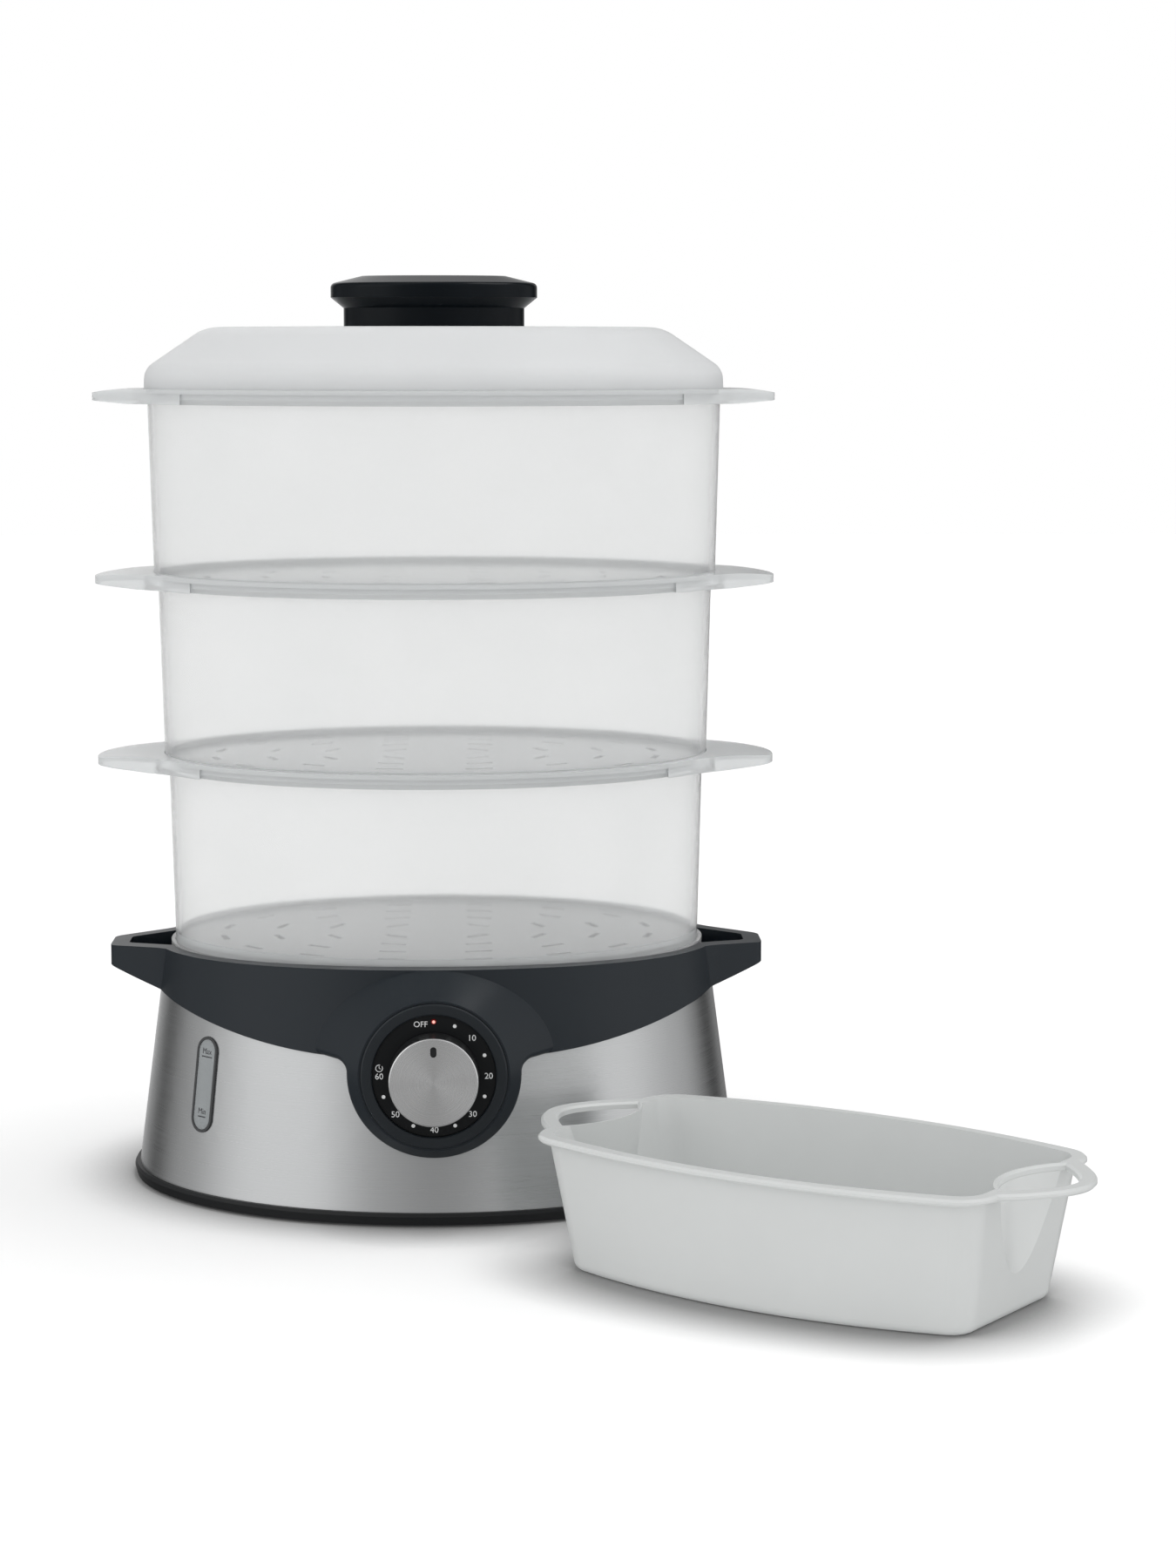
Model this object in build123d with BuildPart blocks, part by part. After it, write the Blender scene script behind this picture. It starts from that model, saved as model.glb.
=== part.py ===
from build123d import *
import os
from math import atan2, cos, degrees, pi, radians, sin, sqrt, tan

# Electric food steamer: a water base with a clockwork timer, three stacking trays, a lid and a rice bowl.
# Millimetres. Origin on the table under the middle of the base, front towards -Y, +Z up.

os.makedirs("parts", exist_ok=True)

# ---------------------------------------------------------------- driving dimensions
# Plan shapes are ovals, given by their half-width; the half-depth is smaller by one fixed amount.
base_oval = 22.5
tray_oval = 26.6

# Foot ring, bottom cover and feet
ring_ledge = 2.6
ring_bottom_z = 1.0
ring_top_z = 6.5
ring_wall = 9.0
ring_lip = 6.0
ring_lip_wall = 2.0
ring_low_bevel = 1.0
ring_high_bevel = (0.8, 1.5)
bottom_plate = 2.5
bottom_gap = 0.3
foot_radius = 8.0
foot_stem_radius = 3.5
foot_recess = 1.0
foot_gap = 0.15
foot_stem_gap = 0.1
foot_inset_x = 53.61
foot_inset_y = 53.11
vent_slot_count = 9
vent_slot_length = 34.0
vent_slot_width = 3.0
vent_slot_pitch = 8.0

# Steel shell
steel_lean = 7.5
steel_thick = 0.8
steel_overlap = 9.0
steel_overlap_side = 7.2
steel_under_boss = 8.0

# Top cover with its two bow handles, apron and dial boss
cover_top_z = 117.0
cover_rim = 4.9
cover_over_steel = 3.647
cover_tip_z = 112.8
crown_past = 8.0
apron_lip = 1.9
apron_middle_z = 76.0
apron_quarter = (64.0, 78.5)
apron_shoulder = (112.0, 88.0)
apron_past = (2.0, 1.0)
apron_blank = 6.0
handle_reach = 23.1
handle_tip_low_z = 103.0
handle_tip_half = 13.5
handle_root_inset = 22.5
handle_root_half = 42.0
handle_corner = 7.0
handle_blend = 30.0
handle_sink = 1.0
handle_ring = 8.6
seat_z = 109.0
seat_plate = 3.0
seat_land = 7.5
scoop_floor = 2.5
scoop_wall = 2.2
scoop_inset = 16.0
scoop_corner = 5.0
scoop_reach_in = 6.0
spout_gap = 0.4
fit_gap = 0.2

# How long a cut is, and how far it runs past the face it opens
cut_run = 30.0
past = 1.0
far = 140.0

# Dial, knob and timer, all on one axis along Y
dial_z = 71.5
boss_proud = 15.657
boss_radius = 39.8
boss_corner = 4.5
boss_land = 1.0
boss_rim_depth = (5.0, 12.0)
boss_rim_round = 2.5
boss_swell_depth = 40.0
boss_swell_width = 35.0
boss_swell_height = 24.2
boss_wall = 2.5
boss_hollow = 18.0
boss_recess_radius = 33.6
boss_recess = 1.6
bezel_radius = 33.4
bezel_inner_radius = 28.1
bezel_proud = 1.2
bezel_round = 0.8
dial_radius = 27.9
dial_thick = 1.0
knob_radius = 20.35
knob_depth = 15.0
knob_gap = 0.6
knob_skin = 0.8
knob_core_gap = 0.05
knob_front_wall = 4.0
knob_rim = 5.0
knob_hollow = 8.0
knob_hub_radius = 7.2
knob_hub = 6.0
knob_hub_recess = 4.5
knob_cap_back = 1.0
knob_round = 0.7
pointer_length = 4.8
pointer_width = 2.8
pointer_out = 14.0
shaft_radius = 3.0
shaft_running_gap = 0.05
shaft_flat = 0.7
shaft_in_timer = 6.0
shaft_end_gap = 2.0
lamp_out = 25.0
lens_radius = 1.3
lens_gap = 0.1
lens_depth = 1.5
lens_proud = 0.6
lens_bevel = 0.4
lamp_radius = 2.4
lamp_length = 16.0
lamp_gap = 0.3
timer_setback = 24.0
timer_width = 52.0
timer_height = 48.0
timer_depth = 25.0
timer_plate = 1.5
timer_ear = 7.0
timer_ear_height = 10.0
timer_case_inset = 2.0
timer_case_corner = 4.0
timer_screw_radius = 1.7
timer_screw_out = 2.2
timer_screw_head_radius = 3.2
timer_screw_head = 2.0
timer_screw_grip = 8.0
timer_post_radius = 3.0
timer_neck_radius = 5.0
neck_gap = 0.4
bell_radius = 17.0
bell_height = 4.5
bell_gap = 0.3
bell_round = 2.5
bell_wall = 1.0
bell_crown = 1.2
bell_boss_radius = 3.0

# Water window in the front left of the steel shell
window_turn = 218.9
window_z = 56.5
window_height = 45.0
window_width = 14.0
window_rim = 1.2
window_proud = 0.7
window_depth = 8.0
window_wall = 1.5
window_gap = 0.15
spigot_radius = 3.0
spigot_length = 15.0
spigot_spread = 28.0
spigot_wall = 1.2

# Water reservoir
reservoir_gap = 13.6
reservoir_oval = 26.0
reservoir_wall = 2.2
reservoir_floor_z = 24.0
reservoir_timer_gap = 2.7
reservoir_shoulder_z = 96.5
reservoir_flange_gap = 4.1
reservoir_taper = 5.0
reservoir_top_gap = 0.3
notch_z = 94.0
post_radius = 5.0
post_pad = 3.0
post_pad_rim = 1.5
post_inset_x = 32.0
post_inset_y = 42.0
screw_radius = 1.9
screw_head_radius = 3.8
screw_head = 2.2
screw_grip = 10.0
screw_cross = 4.4
screw_cross_width = 0.9
screw_cross_depth = 1.3
screw_sink = 0.6
screw_head_gap = 0.4
screw_hole_gap = 0.3
pilot_gap = 0.05
pilot_past = 2.0

# Boiler in the middle of the reservoir
boiler_radius = 34.0
boiler_drum_radius = 28.0
boiler_plate = 2.0
boiler_drum = 9.0
boiler_ring_radius = 20.0
boiler_tube_radius = 4.0
boiler_drum_gap = 0.5
seal_thick = 1.5
clamp_radius = 38.0
clamp_plate = 1.6
clamp_gap = 0.3
stud_circle = 31.5
stud_past_nut = 1.0
stud_radius = 2.0
nut_width = 6.0
nut_height = 3.0
thermostat_radius = 8.0
thermostat_height = 7.0
thermostat_y = -8.0
thermostat_tab = (0.8, 5.0, 4.0)
thermostat_tab_x = 3.5
fuse_radius = 2.2
fuse_length = 14.0
fuse_y = 11.0
fuse_lead = 4.0
fuse_lead_radius = 0.6
tab_size = (6.3, 0.8, 9.0)

# Steam ring that stands round the boiler
steam_ring_radius = 46.0
steam_ring_top_radius = 41.0
steam_ring_height = 42.0
steam_ring_wall = 1.8
steam_ring_ports = 6
steam_ring_port = (12.0, 8.0)

# Mains inlet bush and the terminal block behind it
inlet_z = 24.0
inlet_radius = 6.0
inlet_bore_radius = 3.5
inlet_flange_radius = 8.5
inlet_flange = 3.2
inlet_length = 14.0
terminal_size = (30.0, 16.0, 12.0)
terminal_setback = 22.6
terminal_pitch = 10.0
terminal_screw_radius = 2.2
terminal_screw_depth = 3.0
terminal_bevel = 1.5

# Drip tray
drip_rim_reach = 2.3
drip_seat_gap = 0.7
drip_rim_low_z = 109.3
drip_rim_top_z = 115.0
drip_wall = 1.6
drip_floor_z = 99.3
drip_dish_gap = 17.3
drip_draft = 3.0
chimney_half_width = 42.0
chimney_half_depth = 28.0
chimney_height = 9.0
chimney_draft = 2.0

# Steaming trays
tray_foot_z = 113.7
tray_height = 92.3
tray_nest = 5.4
tray_foot_half_width = 126.6
tray_spread = 2.3
tray_step = 1.7
tray_wall = 1.6
tray_floor_lift = 1.4
tray_floor = 1.8
tray_seat_gap = 0.5
tray_stand_gap = 0.1
rim_bead = 2.8
rim_bead_slope = 2.4
rim_flange = 2.0
rim_reach = 7.0
rim_bead_drop = 6.9
wing_reach = 36.4
wing_root_turn = 36.0
wing_nose = (4.5, 19.0)
wing_hollow = (1.0, 3.0)
wing_droop = 2.2
wing_root_sink = 1.0
wing_root_inset = 0.8
wing_tip_depth = 3.2
slot_length = 13.0
slot_width = 3.0
slot_rows = (0.22, 0.42, 0.62, 0.82)
slots_in_row = (4, 8, 12, 16)

# Lid
lid_wall = 1.8
lid_side_top_z = 389.2
lid_top_z = 408.8
lid_crown_inset = 29.6
lid_lower_round = 9.4
lid_upper_round = 21.0
lid_side_draft = 0.7
lid_vent_length = 13.0
lid_vent_width = 3.0
lid_vent_pitch = 6.0
lid_vent_x = 66.0

# Lid handle
grip_neck_half_width = 43.1
grip_neck_half_depth = 27.0
grip_half_width = 49.25
grip_half_depth = 33.0
grip_neck_height = 9.0
grip_flare = 5.0
grip_edge = 6.5
grip_dome = 3.7
grip_dome_inset = 15.0
grip_wall = 3.0
grip_hollow = 4.0
grip_round = 2.5
grip_post_x = 26.0
grip_post_radius = 4.5

# Rice bowl, standing in front of the base on the right
bowl_spot = (161.5, -225.0)
bowl_turn = -36.0
bowl_height = 61.0
bowl_length = 213.0
bowl_end_width = 96.0
bowl_waist_width = 130.0
bowl_draft = 9.0
bowl_wall = 2.0
bowl_corner = 14.0
bowl_corner_step = 2.0
bowl_bottom_round = 5.0
bowl_lip = 4.0
bowl_lip_thick = 3.0
bowl_lip_bevel = 1.0
bowl_cavity_past = 0.1
bowl_tip_span = 266.0
bowl_grip_width = 92.0
bowl_grip_root = 12.0
bowl_grip_shoulder = (8.5, 22.0)
bowl_finger_width = 56.0
bowl_finger_depth = 10.0
bowl_finger_low_z = 18.0
bowl_finger_ease = 2.0
bowl_finger_taper = 4.0
bowl_loop_width = 7.0

# ---------------------------------------------------------------- sizes that follow from the trays
# Each ring stands outside the one before it: tray, drip tray, seat, top cover, steel shell, foot ring.
drip_rim_half_width = tray_foot_half_width + drip_rim_reach
seat_half_width = drip_rim_half_width + drip_seat_gap
seat_inner_half_width = seat_half_width - seat_land
drip_dish_half_width = seat_half_width - drip_dish_gap
reservoir_half_width = seat_half_width - reservoir_gap
reservoir_flange_half_width = seat_half_width - reservoir_flange_gap
cover_top_half_width = seat_half_width + cover_rim
steel_foot_half_width = (cover_top_half_width - cover_over_steel
                         + (cover_top_z - ring_top_z) * tan(radians(steel_lean)))
ring_half_width = steel_foot_half_width + ring_ledge
handle_tip_x = cover_top_half_width + handle_reach
handle_root_x = cover_top_half_width - handle_root_inset
scoop_inner_x = cover_top_half_width - scoop_inset
wing_tip_x = tray_foot_half_width + wing_reach


# ---------------------------------------------------------------- shared shapes
def oval(z, half_width, oval_step):
    """An oval section at height z, as a sketch."""
    with BuildSketch(Plane.XY.offset(z)) as section:
        Ellipse(half_width, half_width - oval_step)
    return section.sketch


def oval_body(z0, half_width0, z1, half_width1, oval_step, mode=Mode.ADD):
    """Loft between two oval sections into the part being built."""
    loft([oval(z0, half_width0, oval_step), oval(z1, half_width1, oval_step)], ruled=True, mode=mode)


def slab(sketch, thickness, mode=Mode.ADD, both=False):
    """Extrude a finished sketch into the part being built."""
    extrude(sketch, amount=thickness, both=both, mode=mode)


def disc_y(radius, y, depth, mode=Mode.ADD):
    """A disc on the dial axis: its front face at y, running back by depth."""
    with BuildSketch(Plane.XZ.offset(-y)) as face:
        with Locations((0, dial_z)):
            Circle(radius)
    extrude(face.sketch, amount=-depth, mode=mode)


def save(shape, label):
    """Name a finished piece and write its STEP file."""
    shape.label = label
    export_step(shape, f"parts/{label}.step")


def steel_half_width(z):
    """Half-width of the steel shell's outside at height z."""
    return steel_foot_half_width - (z - ring_top_z) * tan(radians(steel_lean))


def handle_outline(inset, corner):
    """Plan of both bow handles: blunt wedges that widen towards the cover, drawn in by inset."""
    slope = (handle_root_half - handle_tip_half) / (handle_tip_x - handle_root_x)
    tip = handle_tip_x - inset
    narrower = inset * sqrt(1 + slope ** 2)
    tip_half = handle_tip_half + slope * inset - narrower
    root_half = handle_root_half - narrower
    with BuildSketch() as outline:
        with BuildLine():
            Polyline((-handle_root_x, root_half), (handle_root_x, root_half),
                     (tip, tip_half), (tip, -tip_half),
                     (handle_root_x, -root_half), (-handle_root_x, -root_half),
                     (-tip, -tip_half), (-tip, tip_half), close=True)
        make_face()
        fillet([end for end in outline.vertices() if abs(end.X) > handle_root_x + past], radius=corner)
    return outline.sketch


def side_band(points_low, lift, high_z):
    """A sketch in side view: everything over the apron's edge curve raised by lift, up to high_z."""
    half = [(x, z + lift) for x, z in points_low]
    whole = [(-x, z) for x, z in reversed(half[1:])] + half
    with BuildSketch(Plane.XZ) as band:
        with BuildLine():
            Spline(*whole)
            Polyline(whole[-1], (whole[-1][0], high_z), (whole[0][0], high_z), whole[0])
        make_face()
    return band.sketch


apron_edge = [(0.0, apron_middle_z), apron_quarter, apron_shoulder,
              (handle_tip_x + apron_past[0], handle_tip_low_z + apron_past[1])]
apron_low_z = apron_middle_z - apron_blank
blank_top_z = cover_top_z + past
hollow_top_z = cover_top_z + 5 * past
band_top_z = cover_top_z + 8 * past
apron_low_half_width = steel_half_width(apron_low_z) + apron_lip
steel_in_cover_z = seat_z - seat_plate
boss_face_y = base_oval - steel_half_width(dial_z) - boss_proud
timer_face_y = boss_face_y + timer_setback
timer_back_y = timer_face_y + timer_plate
bell_y = timer_back_y + timer_depth + bell_gap
reservoir_front_y = bell_y + bell_height + reservoir_timer_gap
inlet_y = steel_half_width(inlet_z) - base_oval
terminal_y = inlet_y - terminal_setback

lip_half_width = steel_foot_half_width - steel_thick - fit_gap
inner_half_width = lip_half_width - ring_lip_wall - ring_lip * tan(radians(steel_lean))
foot_spot_x = inner_half_width - foot_inset_x
foot_spot_y = inner_half_width - base_oval - foot_inset_y
post_spot_x = reservoir_half_width - post_inset_x
post_spot_y = reservoir_half_width - reservoir_oval - post_inset_y

# ---------------------------------------------------------------- base: foot ring and bottom
with BuildPart() as foot_ring:
    widest_z = ring_top_z - ring_high_bevel[1]
    oval_body(ring_bottom_z, ring_half_width - ring_low_bevel, widest_z, ring_half_width, base_oval)
    oval_body(widest_z, ring_half_width, ring_top_z, ring_half_width - ring_high_bevel[0], base_oval)
    oval_body(ring_top_z, lip_half_width, ring_top_z + ring_lip,
              lip_half_width - ring_lip * tan(radians(steel_lean)), base_oval)
    slab(oval(ring_bottom_z - past, inner_half_width, base_oval), ring_top_z + ring_lip + 2 * past,
         mode=Mode.SUBTRACT)
    slab(oval(ring_bottom_z + bottom_plate, inner_half_width, base_oval)
         - oval(ring_bottom_z + bottom_plate, inner_half_width - ring_wall, base_oval), ring_lip_wall)
save(foot_ring.part, "foot_ring")

foot_spots = [(x, y) for x in (-foot_spot_x, foot_spot_x) for y in (-foot_spot_y, foot_spot_y)]
post_spots = [(x, y) for x in (-post_spot_x, post_spot_x) for y in (-post_spot_y, post_spot_y)]
plate_top_z = ring_bottom_z + bottom_plate

with BuildPart() as bottom_cover:
    slab(oval(ring_bottom_z, inner_half_width - bottom_gap, base_oval), bottom_plate)
    with BuildSketch(Plane.XY.offset(plate_top_z)):
        with Locations(*post_spots):
            Circle(post_radius + post_pad_rim)
    extrude(amount=post_pad)
    with Locations(*[(x, y, ring_bottom_z) for x, y in post_spots]):
        Cylinder(screw_head_radius + screw_head_gap, screw_head + screw_sink,
                 align=(Align.CENTER, Align.CENTER, Align.MIN), mode=Mode.SUBTRACT)
        Cylinder(screw_radius + screw_hole_gap, cut_run, mode=Mode.SUBTRACT)
    with Locations(*[(x, y, ring_bottom_z) for x, y in foot_spots]):
        Cylinder(foot_radius + foot_gap, foot_recess, align=(Align.CENTER, Align.CENTER, Align.MIN),
                 mode=Mode.SUBTRACT)
        Cylinder(foot_stem_radius + foot_stem_gap, cut_run, mode=Mode.SUBTRACT)
    with BuildSketch(Plane.XY.offset(ring_bottom_z - past)):
        with GridLocations(0, vent_slot_pitch, 1, vent_slot_count):
            Rectangle(vent_slot_length, vent_slot_width)
    extrude(amount=bottom_plate + 2 * past, mode=Mode.SUBTRACT)
save(bottom_cover.part, "bottom_cover")

with BuildPart() as rubber_feet:
    with BuildSketch():
        with Locations(*foot_spots):
            Circle(foot_radius)
    extrude(amount=ring_bottom_z + foot_recess)
    with BuildSketch(Plane.XY.offset(ring_bottom_z + foot_recess)):
        with Locations(*foot_spots):
            Circle(foot_stem_radius)
    extrude(amount=bottom_plate)
save(rubber_feet.part, "rubber_feet")

post_low_z = plate_top_z + post_pad
with BuildPart() as bottom_screws:
    head_z = ring_bottom_z + screw_sink
    with BuildSketch(Plane.XY.offset(head_z)):
        with Locations(*post_spots):
            Circle(screw_head_radius)
    extrude(amount=screw_head)
    with BuildSketch(Plane.XY.offset(head_z + screw_head)):
        with Locations(*post_spots):
            Circle(screw_radius)
    extrude(amount=screw_grip)
    with BuildSketch(Plane.XY.offset(head_z)):
        with Locations(*post_spots):
            Rectangle(screw_cross, screw_cross_width)
            Rectangle(screw_cross_width, screw_cross)
    extrude(amount=screw_cross_depth, mode=Mode.SUBTRACT)
save(bottom_screws.part, "bottom_screws")

# ---------------------------------------------------------------- base: steel shell
window_half = steel_half_width(window_z)
window_spot = (window_half * cos(radians(window_turn)), (window_half - base_oval) * sin(radians(window_turn)))
window_normal = Vector(cos(radians(window_turn)) / window_half,
                       sin(radians(window_turn)) / (window_half - base_oval), 0).normalized()
window_out = (window_normal + Vector(0, 0, tan(radians(steel_lean)))).normalized()
window_plane = Plane(origin=(window_spot[0], window_spot[1], window_z),
                     x_dir=Vector(0, 0, 1).cross(window_normal), z_dir=window_out)
steel_top_z = cover_top_z
steel_edge = [(0.0, apron_middle_z + steel_overlap),
              (apron_quarter[0], apron_quarter[1] + steel_overlap_side),
              (apron_shoulder[0], apron_shoulder[1] - fit_gap),
              (handle_tip_x, handle_tip_low_z - fit_gap)]

with BuildPart() as steel_shell:
    oval_body(ring_top_z, steel_foot_half_width, steel_top_z, steel_half_width(steel_top_z), base_oval)
    oval_body(ring_top_z, steel_foot_half_width - steel_thick, steel_top_z,
              steel_half_width(steel_top_z) - steel_thick, base_oval, mode=Mode.SUBTRACT)
    slab(side_band(steel_edge, 0.0, band_top_z), far, mode=Mode.SUBTRACT, both=True)
    with BuildSketch(Plane.XZ):
        with Locations((0, dial_z)):
            Circle(boss_radius - steel_under_boss)
    extrude(amount=far, mode=Mode.SUBTRACT)
    with BuildSketch(window_plane.offset(-cut_run / 2)):
        SlotOverall(window_height + 2 * window_gap, window_width + 2 * window_gap, rotation=90)
    extrude(amount=cut_run, mode=Mode.SUBTRACT)
    with BuildSketch(Plane.XZ.offset(cut_run / 2 - inlet_y)):
        with Locations((0, inlet_z)):
            Circle(inlet_radius + fit_gap)
    extrude(amount=-cut_run, mode=Mode.SUBTRACT)
save(steel_shell.part, "steel_shell")

# ---------------------------------------------------------------- base: top cover
scoop_outline = handle_outline(handle_ring, scoop_corner)
scoop_shell = handle_outline(handle_ring - scoop_wall, scoop_corner + scoop_wall / 2)

# the plan of the cover with its handles, which flow into the oval
with BuildSketch() as cover_plan:
    Ellipse(cover_top_half_width - handle_sink, cover_top_half_width - base_oval - handle_sink)
    add(handle_outline(0.0, handle_corner))
    fillet([root for root in cover_plan.vertices() if abs(root.Y) > handle_tip_half + handle_corner],
           radius=handle_blend)

with BuildPart() as scoop_tubs:
    slab(Plane.XY.offset(apron_low_z) * scoop_shell, seat_z - apron_low_z)
    slab(side_band(apron_edge, 0.0, band_top_z), far, mode=Mode.INTERSECT, both=True)
    Box(2 * scoop_inner_x, 2 * far, 4 * far, mode=Mode.SUBTRACT)

with BuildPart() as scoop_hollows:
    slab(Plane.XY.offset(apron_low_z) * scoop_outline, hollow_top_z - apron_low_z)
    slab(side_band(apron_edge, scoop_floor, band_top_z), far, mode=Mode.INTERSECT, both=True)
    Box(2 * (handle_root_x - scoop_reach_in), 2 * far, 4 * far, mode=Mode.SUBTRACT)

# the crown's arc runs through the top and both tips, and a little past them
crown_drop = cover_top_z - cover_tip_z
crown_radius = (handle_tip_x ** 2 + crown_drop ** 2) / (2 * crown_drop)
crown_x = handle_tip_x + crown_past
crown_z = cover_top_z - crown_radius + sqrt(crown_radius ** 2 - crown_x ** 2)

timer_screw_spots = [(side * (timer_width / 2 + timer_screw_out), dial_z) for side in (-1, 1)]

# the front view of the cover: the apron's band with the dial boss hanging from it by soft corners
with BuildSketch(Plane.XZ) as front_outline:
    add(side_band(apron_edge, 0.0, band_top_z))
    with Locations((0, dial_z)):
        Circle(boss_radius)
    fillet([corner for corner in front_outline.vertices()
            if abs(corner.X) < boss_radius + past and abs(corner.Y - apron_middle_z) < boss_corner],
           radius=boss_corner)

# the apron swells out to the face of the dial boss
with BuildPart() as boss_swell:
    with BuildSketch(Plane.XZ.offset(-boss_face_y)) as boss_face:
        with Locations((0, dial_z)):
            Circle(boss_recess_radius + boss_land)
    with BuildSketch(Plane.XZ.offset(-boss_face_y - boss_swell_depth)) as boss_root:
        with Locations((0, dial_z)):
            Ellipse(boss_recess_radius + boss_land + boss_swell_width,
                    boss_recess_radius + boss_land + boss_swell_height)
    loft([boss_face.sketch, boss_root.sketch])
    slab(front_outline.sketch, far, mode=Mode.INTERSECT, both=True)
    boss_rim = boss_swell.edges().filter_by_position(Axis.Y, boss_face_y + boss_rim_depth[0],
                                                     boss_face_y + boss_rim_depth[1])
    fillet(boss_rim, radius=boss_rim_round)

with BuildPart() as top_cover:
    oval_body(apron_low_z, apron_low_half_width, blank_top_z, cover_top_half_width, base_oval)
    slab(Plane.XY.offset(apron_low_z) * cover_plan.sketch, blank_top_z - apron_low_z)
    slab(side_band(apron_edge, 0.0, band_top_z), far, mode=Mode.INTERSECT, both=True)
    add(boss_swell.part)
    with BuildSketch(Plane.XZ) as crown:
        with BuildLine():
            ThreePointArc((-crown_x, crown_z), (0, cover_top_z), (crown_x, crown_z))
            Polyline((crown_x, crown_z), (crown_x, 2 * cover_top_z),
                     (-crown_x, 2 * cover_top_z), (-crown_x, crown_z))
        make_face()
    slab(crown.sketch, far, mode=Mode.SUBTRACT, both=True)
    # room for the steel shell and the reservoir
    oval_body(ring_top_z, steel_foot_half_width + fit_gap, steel_in_cover_z,
              steel_half_width(steel_in_cover_z) + fit_gap, base_oval, mode=Mode.SUBTRACT)
    slab(oval(seat_z, seat_half_width, tray_oval), cut_run, mode=Mode.SUBTRACT)
    slab(oval(seat_z - cut_run / 2, seat_inner_half_width, tray_oval), cut_run, mode=Mode.SUBTRACT)
    add(scoop_tubs.part)
    add(scoop_hollows.part, mode=Mode.SUBTRACT)
    # the hollow boss: recess for the bezel, bore for the shaft and hole for the lamp
    disc_y(boss_radius - 3 * boss_wall, boss_face_y + boss_recess + boss_wall, boss_hollow,
           mode=Mode.SUBTRACT)
    with BuildSketch(Plane.XZ.offset(-timer_face_y)) as timer_posts:
        with Locations(*timer_screw_spots):
            Circle(timer_post_radius)
    extrude(timer_posts.sketch, amount=timer_setback - boss_recess - boss_wall)
    with BuildSketch(Plane.XZ.offset(-timer_face_y)) as timer_pilots:
        with Locations(*timer_screw_spots):
            Circle(timer_screw_radius + pilot_gap)
    extrude(timer_pilots.sketch, amount=timer_screw_grip + pilot_past, mode=Mode.SUBTRACT)
    disc_y(boss_recess_radius, boss_face_y, boss_recess, mode=Mode.SUBTRACT)
    disc_y(timer_neck_radius + neck_gap, boss_face_y, boss_hollow, mode=Mode.SUBTRACT)
    with BuildSketch(Plane.XZ.offset(-boss_face_y)) as lamp_hole:
        with Locations((0, dial_z + lamp_out)):
            Circle(lamp_radius + lamp_gap)
    extrude(lamp_hole.sketch, amount=-boss_hollow, mode=Mode.SUBTRACT)
save(top_cover.part, "top_cover")

# ---------------------------------------------------------------- base: reservoir and boiler
reservoir_top_z = steel_in_cover_z - reservoir_top_gap
floor_top_z = reservoir_floor_z + reservoir_wall
stud_spots = [(stud_circle * cos(radians(a)), stud_circle * sin(radians(a))) for a in (90, 210, 330)]


def reservoir_volume(shrink, low_z):
    """The reservoir's oval bucket with a flat front that leaves room for the timer."""
    with BuildPart(mode=Mode.PRIVATE) as bucket:
        oval_body(low_z, reservoir_half_width - reservoir_taper - shrink,
                  reservoir_shoulder_z + past, reservoir_half_width - shrink, reservoir_oval)
        with BuildSketch(Plane.XY.offset(low_z)) as front_cut:
            with Locations((0, reservoir_front_y + shrink)):
                Rectangle(2 * far, far, align=(Align.CENTER, Align.MAX))
        extrude(front_cut.sketch, amount=reservoir_shoulder_z + past - low_z, mode=Mode.SUBTRACT)
    return bucket.part


reservoir_outside = reservoir_volume(0.0, reservoir_floor_z)
reservoir_inside = reservoir_volume(reservoir_wall, floor_top_z)

with BuildPart() as reservoir:
    add(reservoir_outside)
    with BuildSketch(Plane.XY.offset(reservoir_floor_z)):
        with Locations(*post_spots):
            Circle(post_radius)
    extrude(amount=-(reservoir_floor_z - post_low_z))
    slab(oval(reservoir_shoulder_z, reservoir_half_width, reservoir_oval),
         reservoir_top_z - reservoir_shoulder_z)
    slab(oval(reservoir_top_z - reservoir_wall, reservoir_flange_half_width, tray_oval), reservoir_wall)
    add(reservoir_inside, mode=Mode.SUBTRACT)
    slab(oval(reservoir_shoulder_z + reservoir_wall, reservoir_half_width - reservoir_wall, reservoir_oval),
         cut_run, mode=Mode.SUBTRACT)
    # low spouts at both ends let water in from the scoops
    spout = handle_outline(handle_ring - scoop_wall - spout_gap, scoop_corner + scoop_wall / 2)
    slab(Plane.XY.offset(notch_z) * spout, cut_run, mode=Mode.SUBTRACT)
    # boiler hole and pilot holes in the posts
    with Locations((0, 0, reservoir_floor_z)):
        Cylinder(boiler_drum_radius + boiler_drum_gap, cut_run, mode=Mode.SUBTRACT)
    with BuildSketch(Plane.XY.offset(reservoir_floor_z - past)):
        with Locations(*stud_spots):
            Circle(stud_radius + fit_gap)
    extrude(amount=cut_run, mode=Mode.SUBTRACT)
    with Locations(*[(x, y, post_low_z) for x, y in post_spots]):
        Cylinder(screw_radius + pilot_gap, 2 * screw_grip, mode=Mode.SUBTRACT)
save(reservoir.part, "reservoir")

seal_top_z = floor_top_z + seal_thick
with BuildPart() as heater_seal:
    with BuildSketch(Plane.XY.offset(floor_top_z)):
        Circle(boiler_radius)
        Circle(boiler_drum_radius + fit_gap, mode=Mode.SUBTRACT)
        with Locations(*stud_spots):
            Circle(stud_radius + fit_gap / 2, mode=Mode.SUBTRACT)
    extrude(amount=seal_thick)
save(heater_seal.part, "heater_seal")

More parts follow.
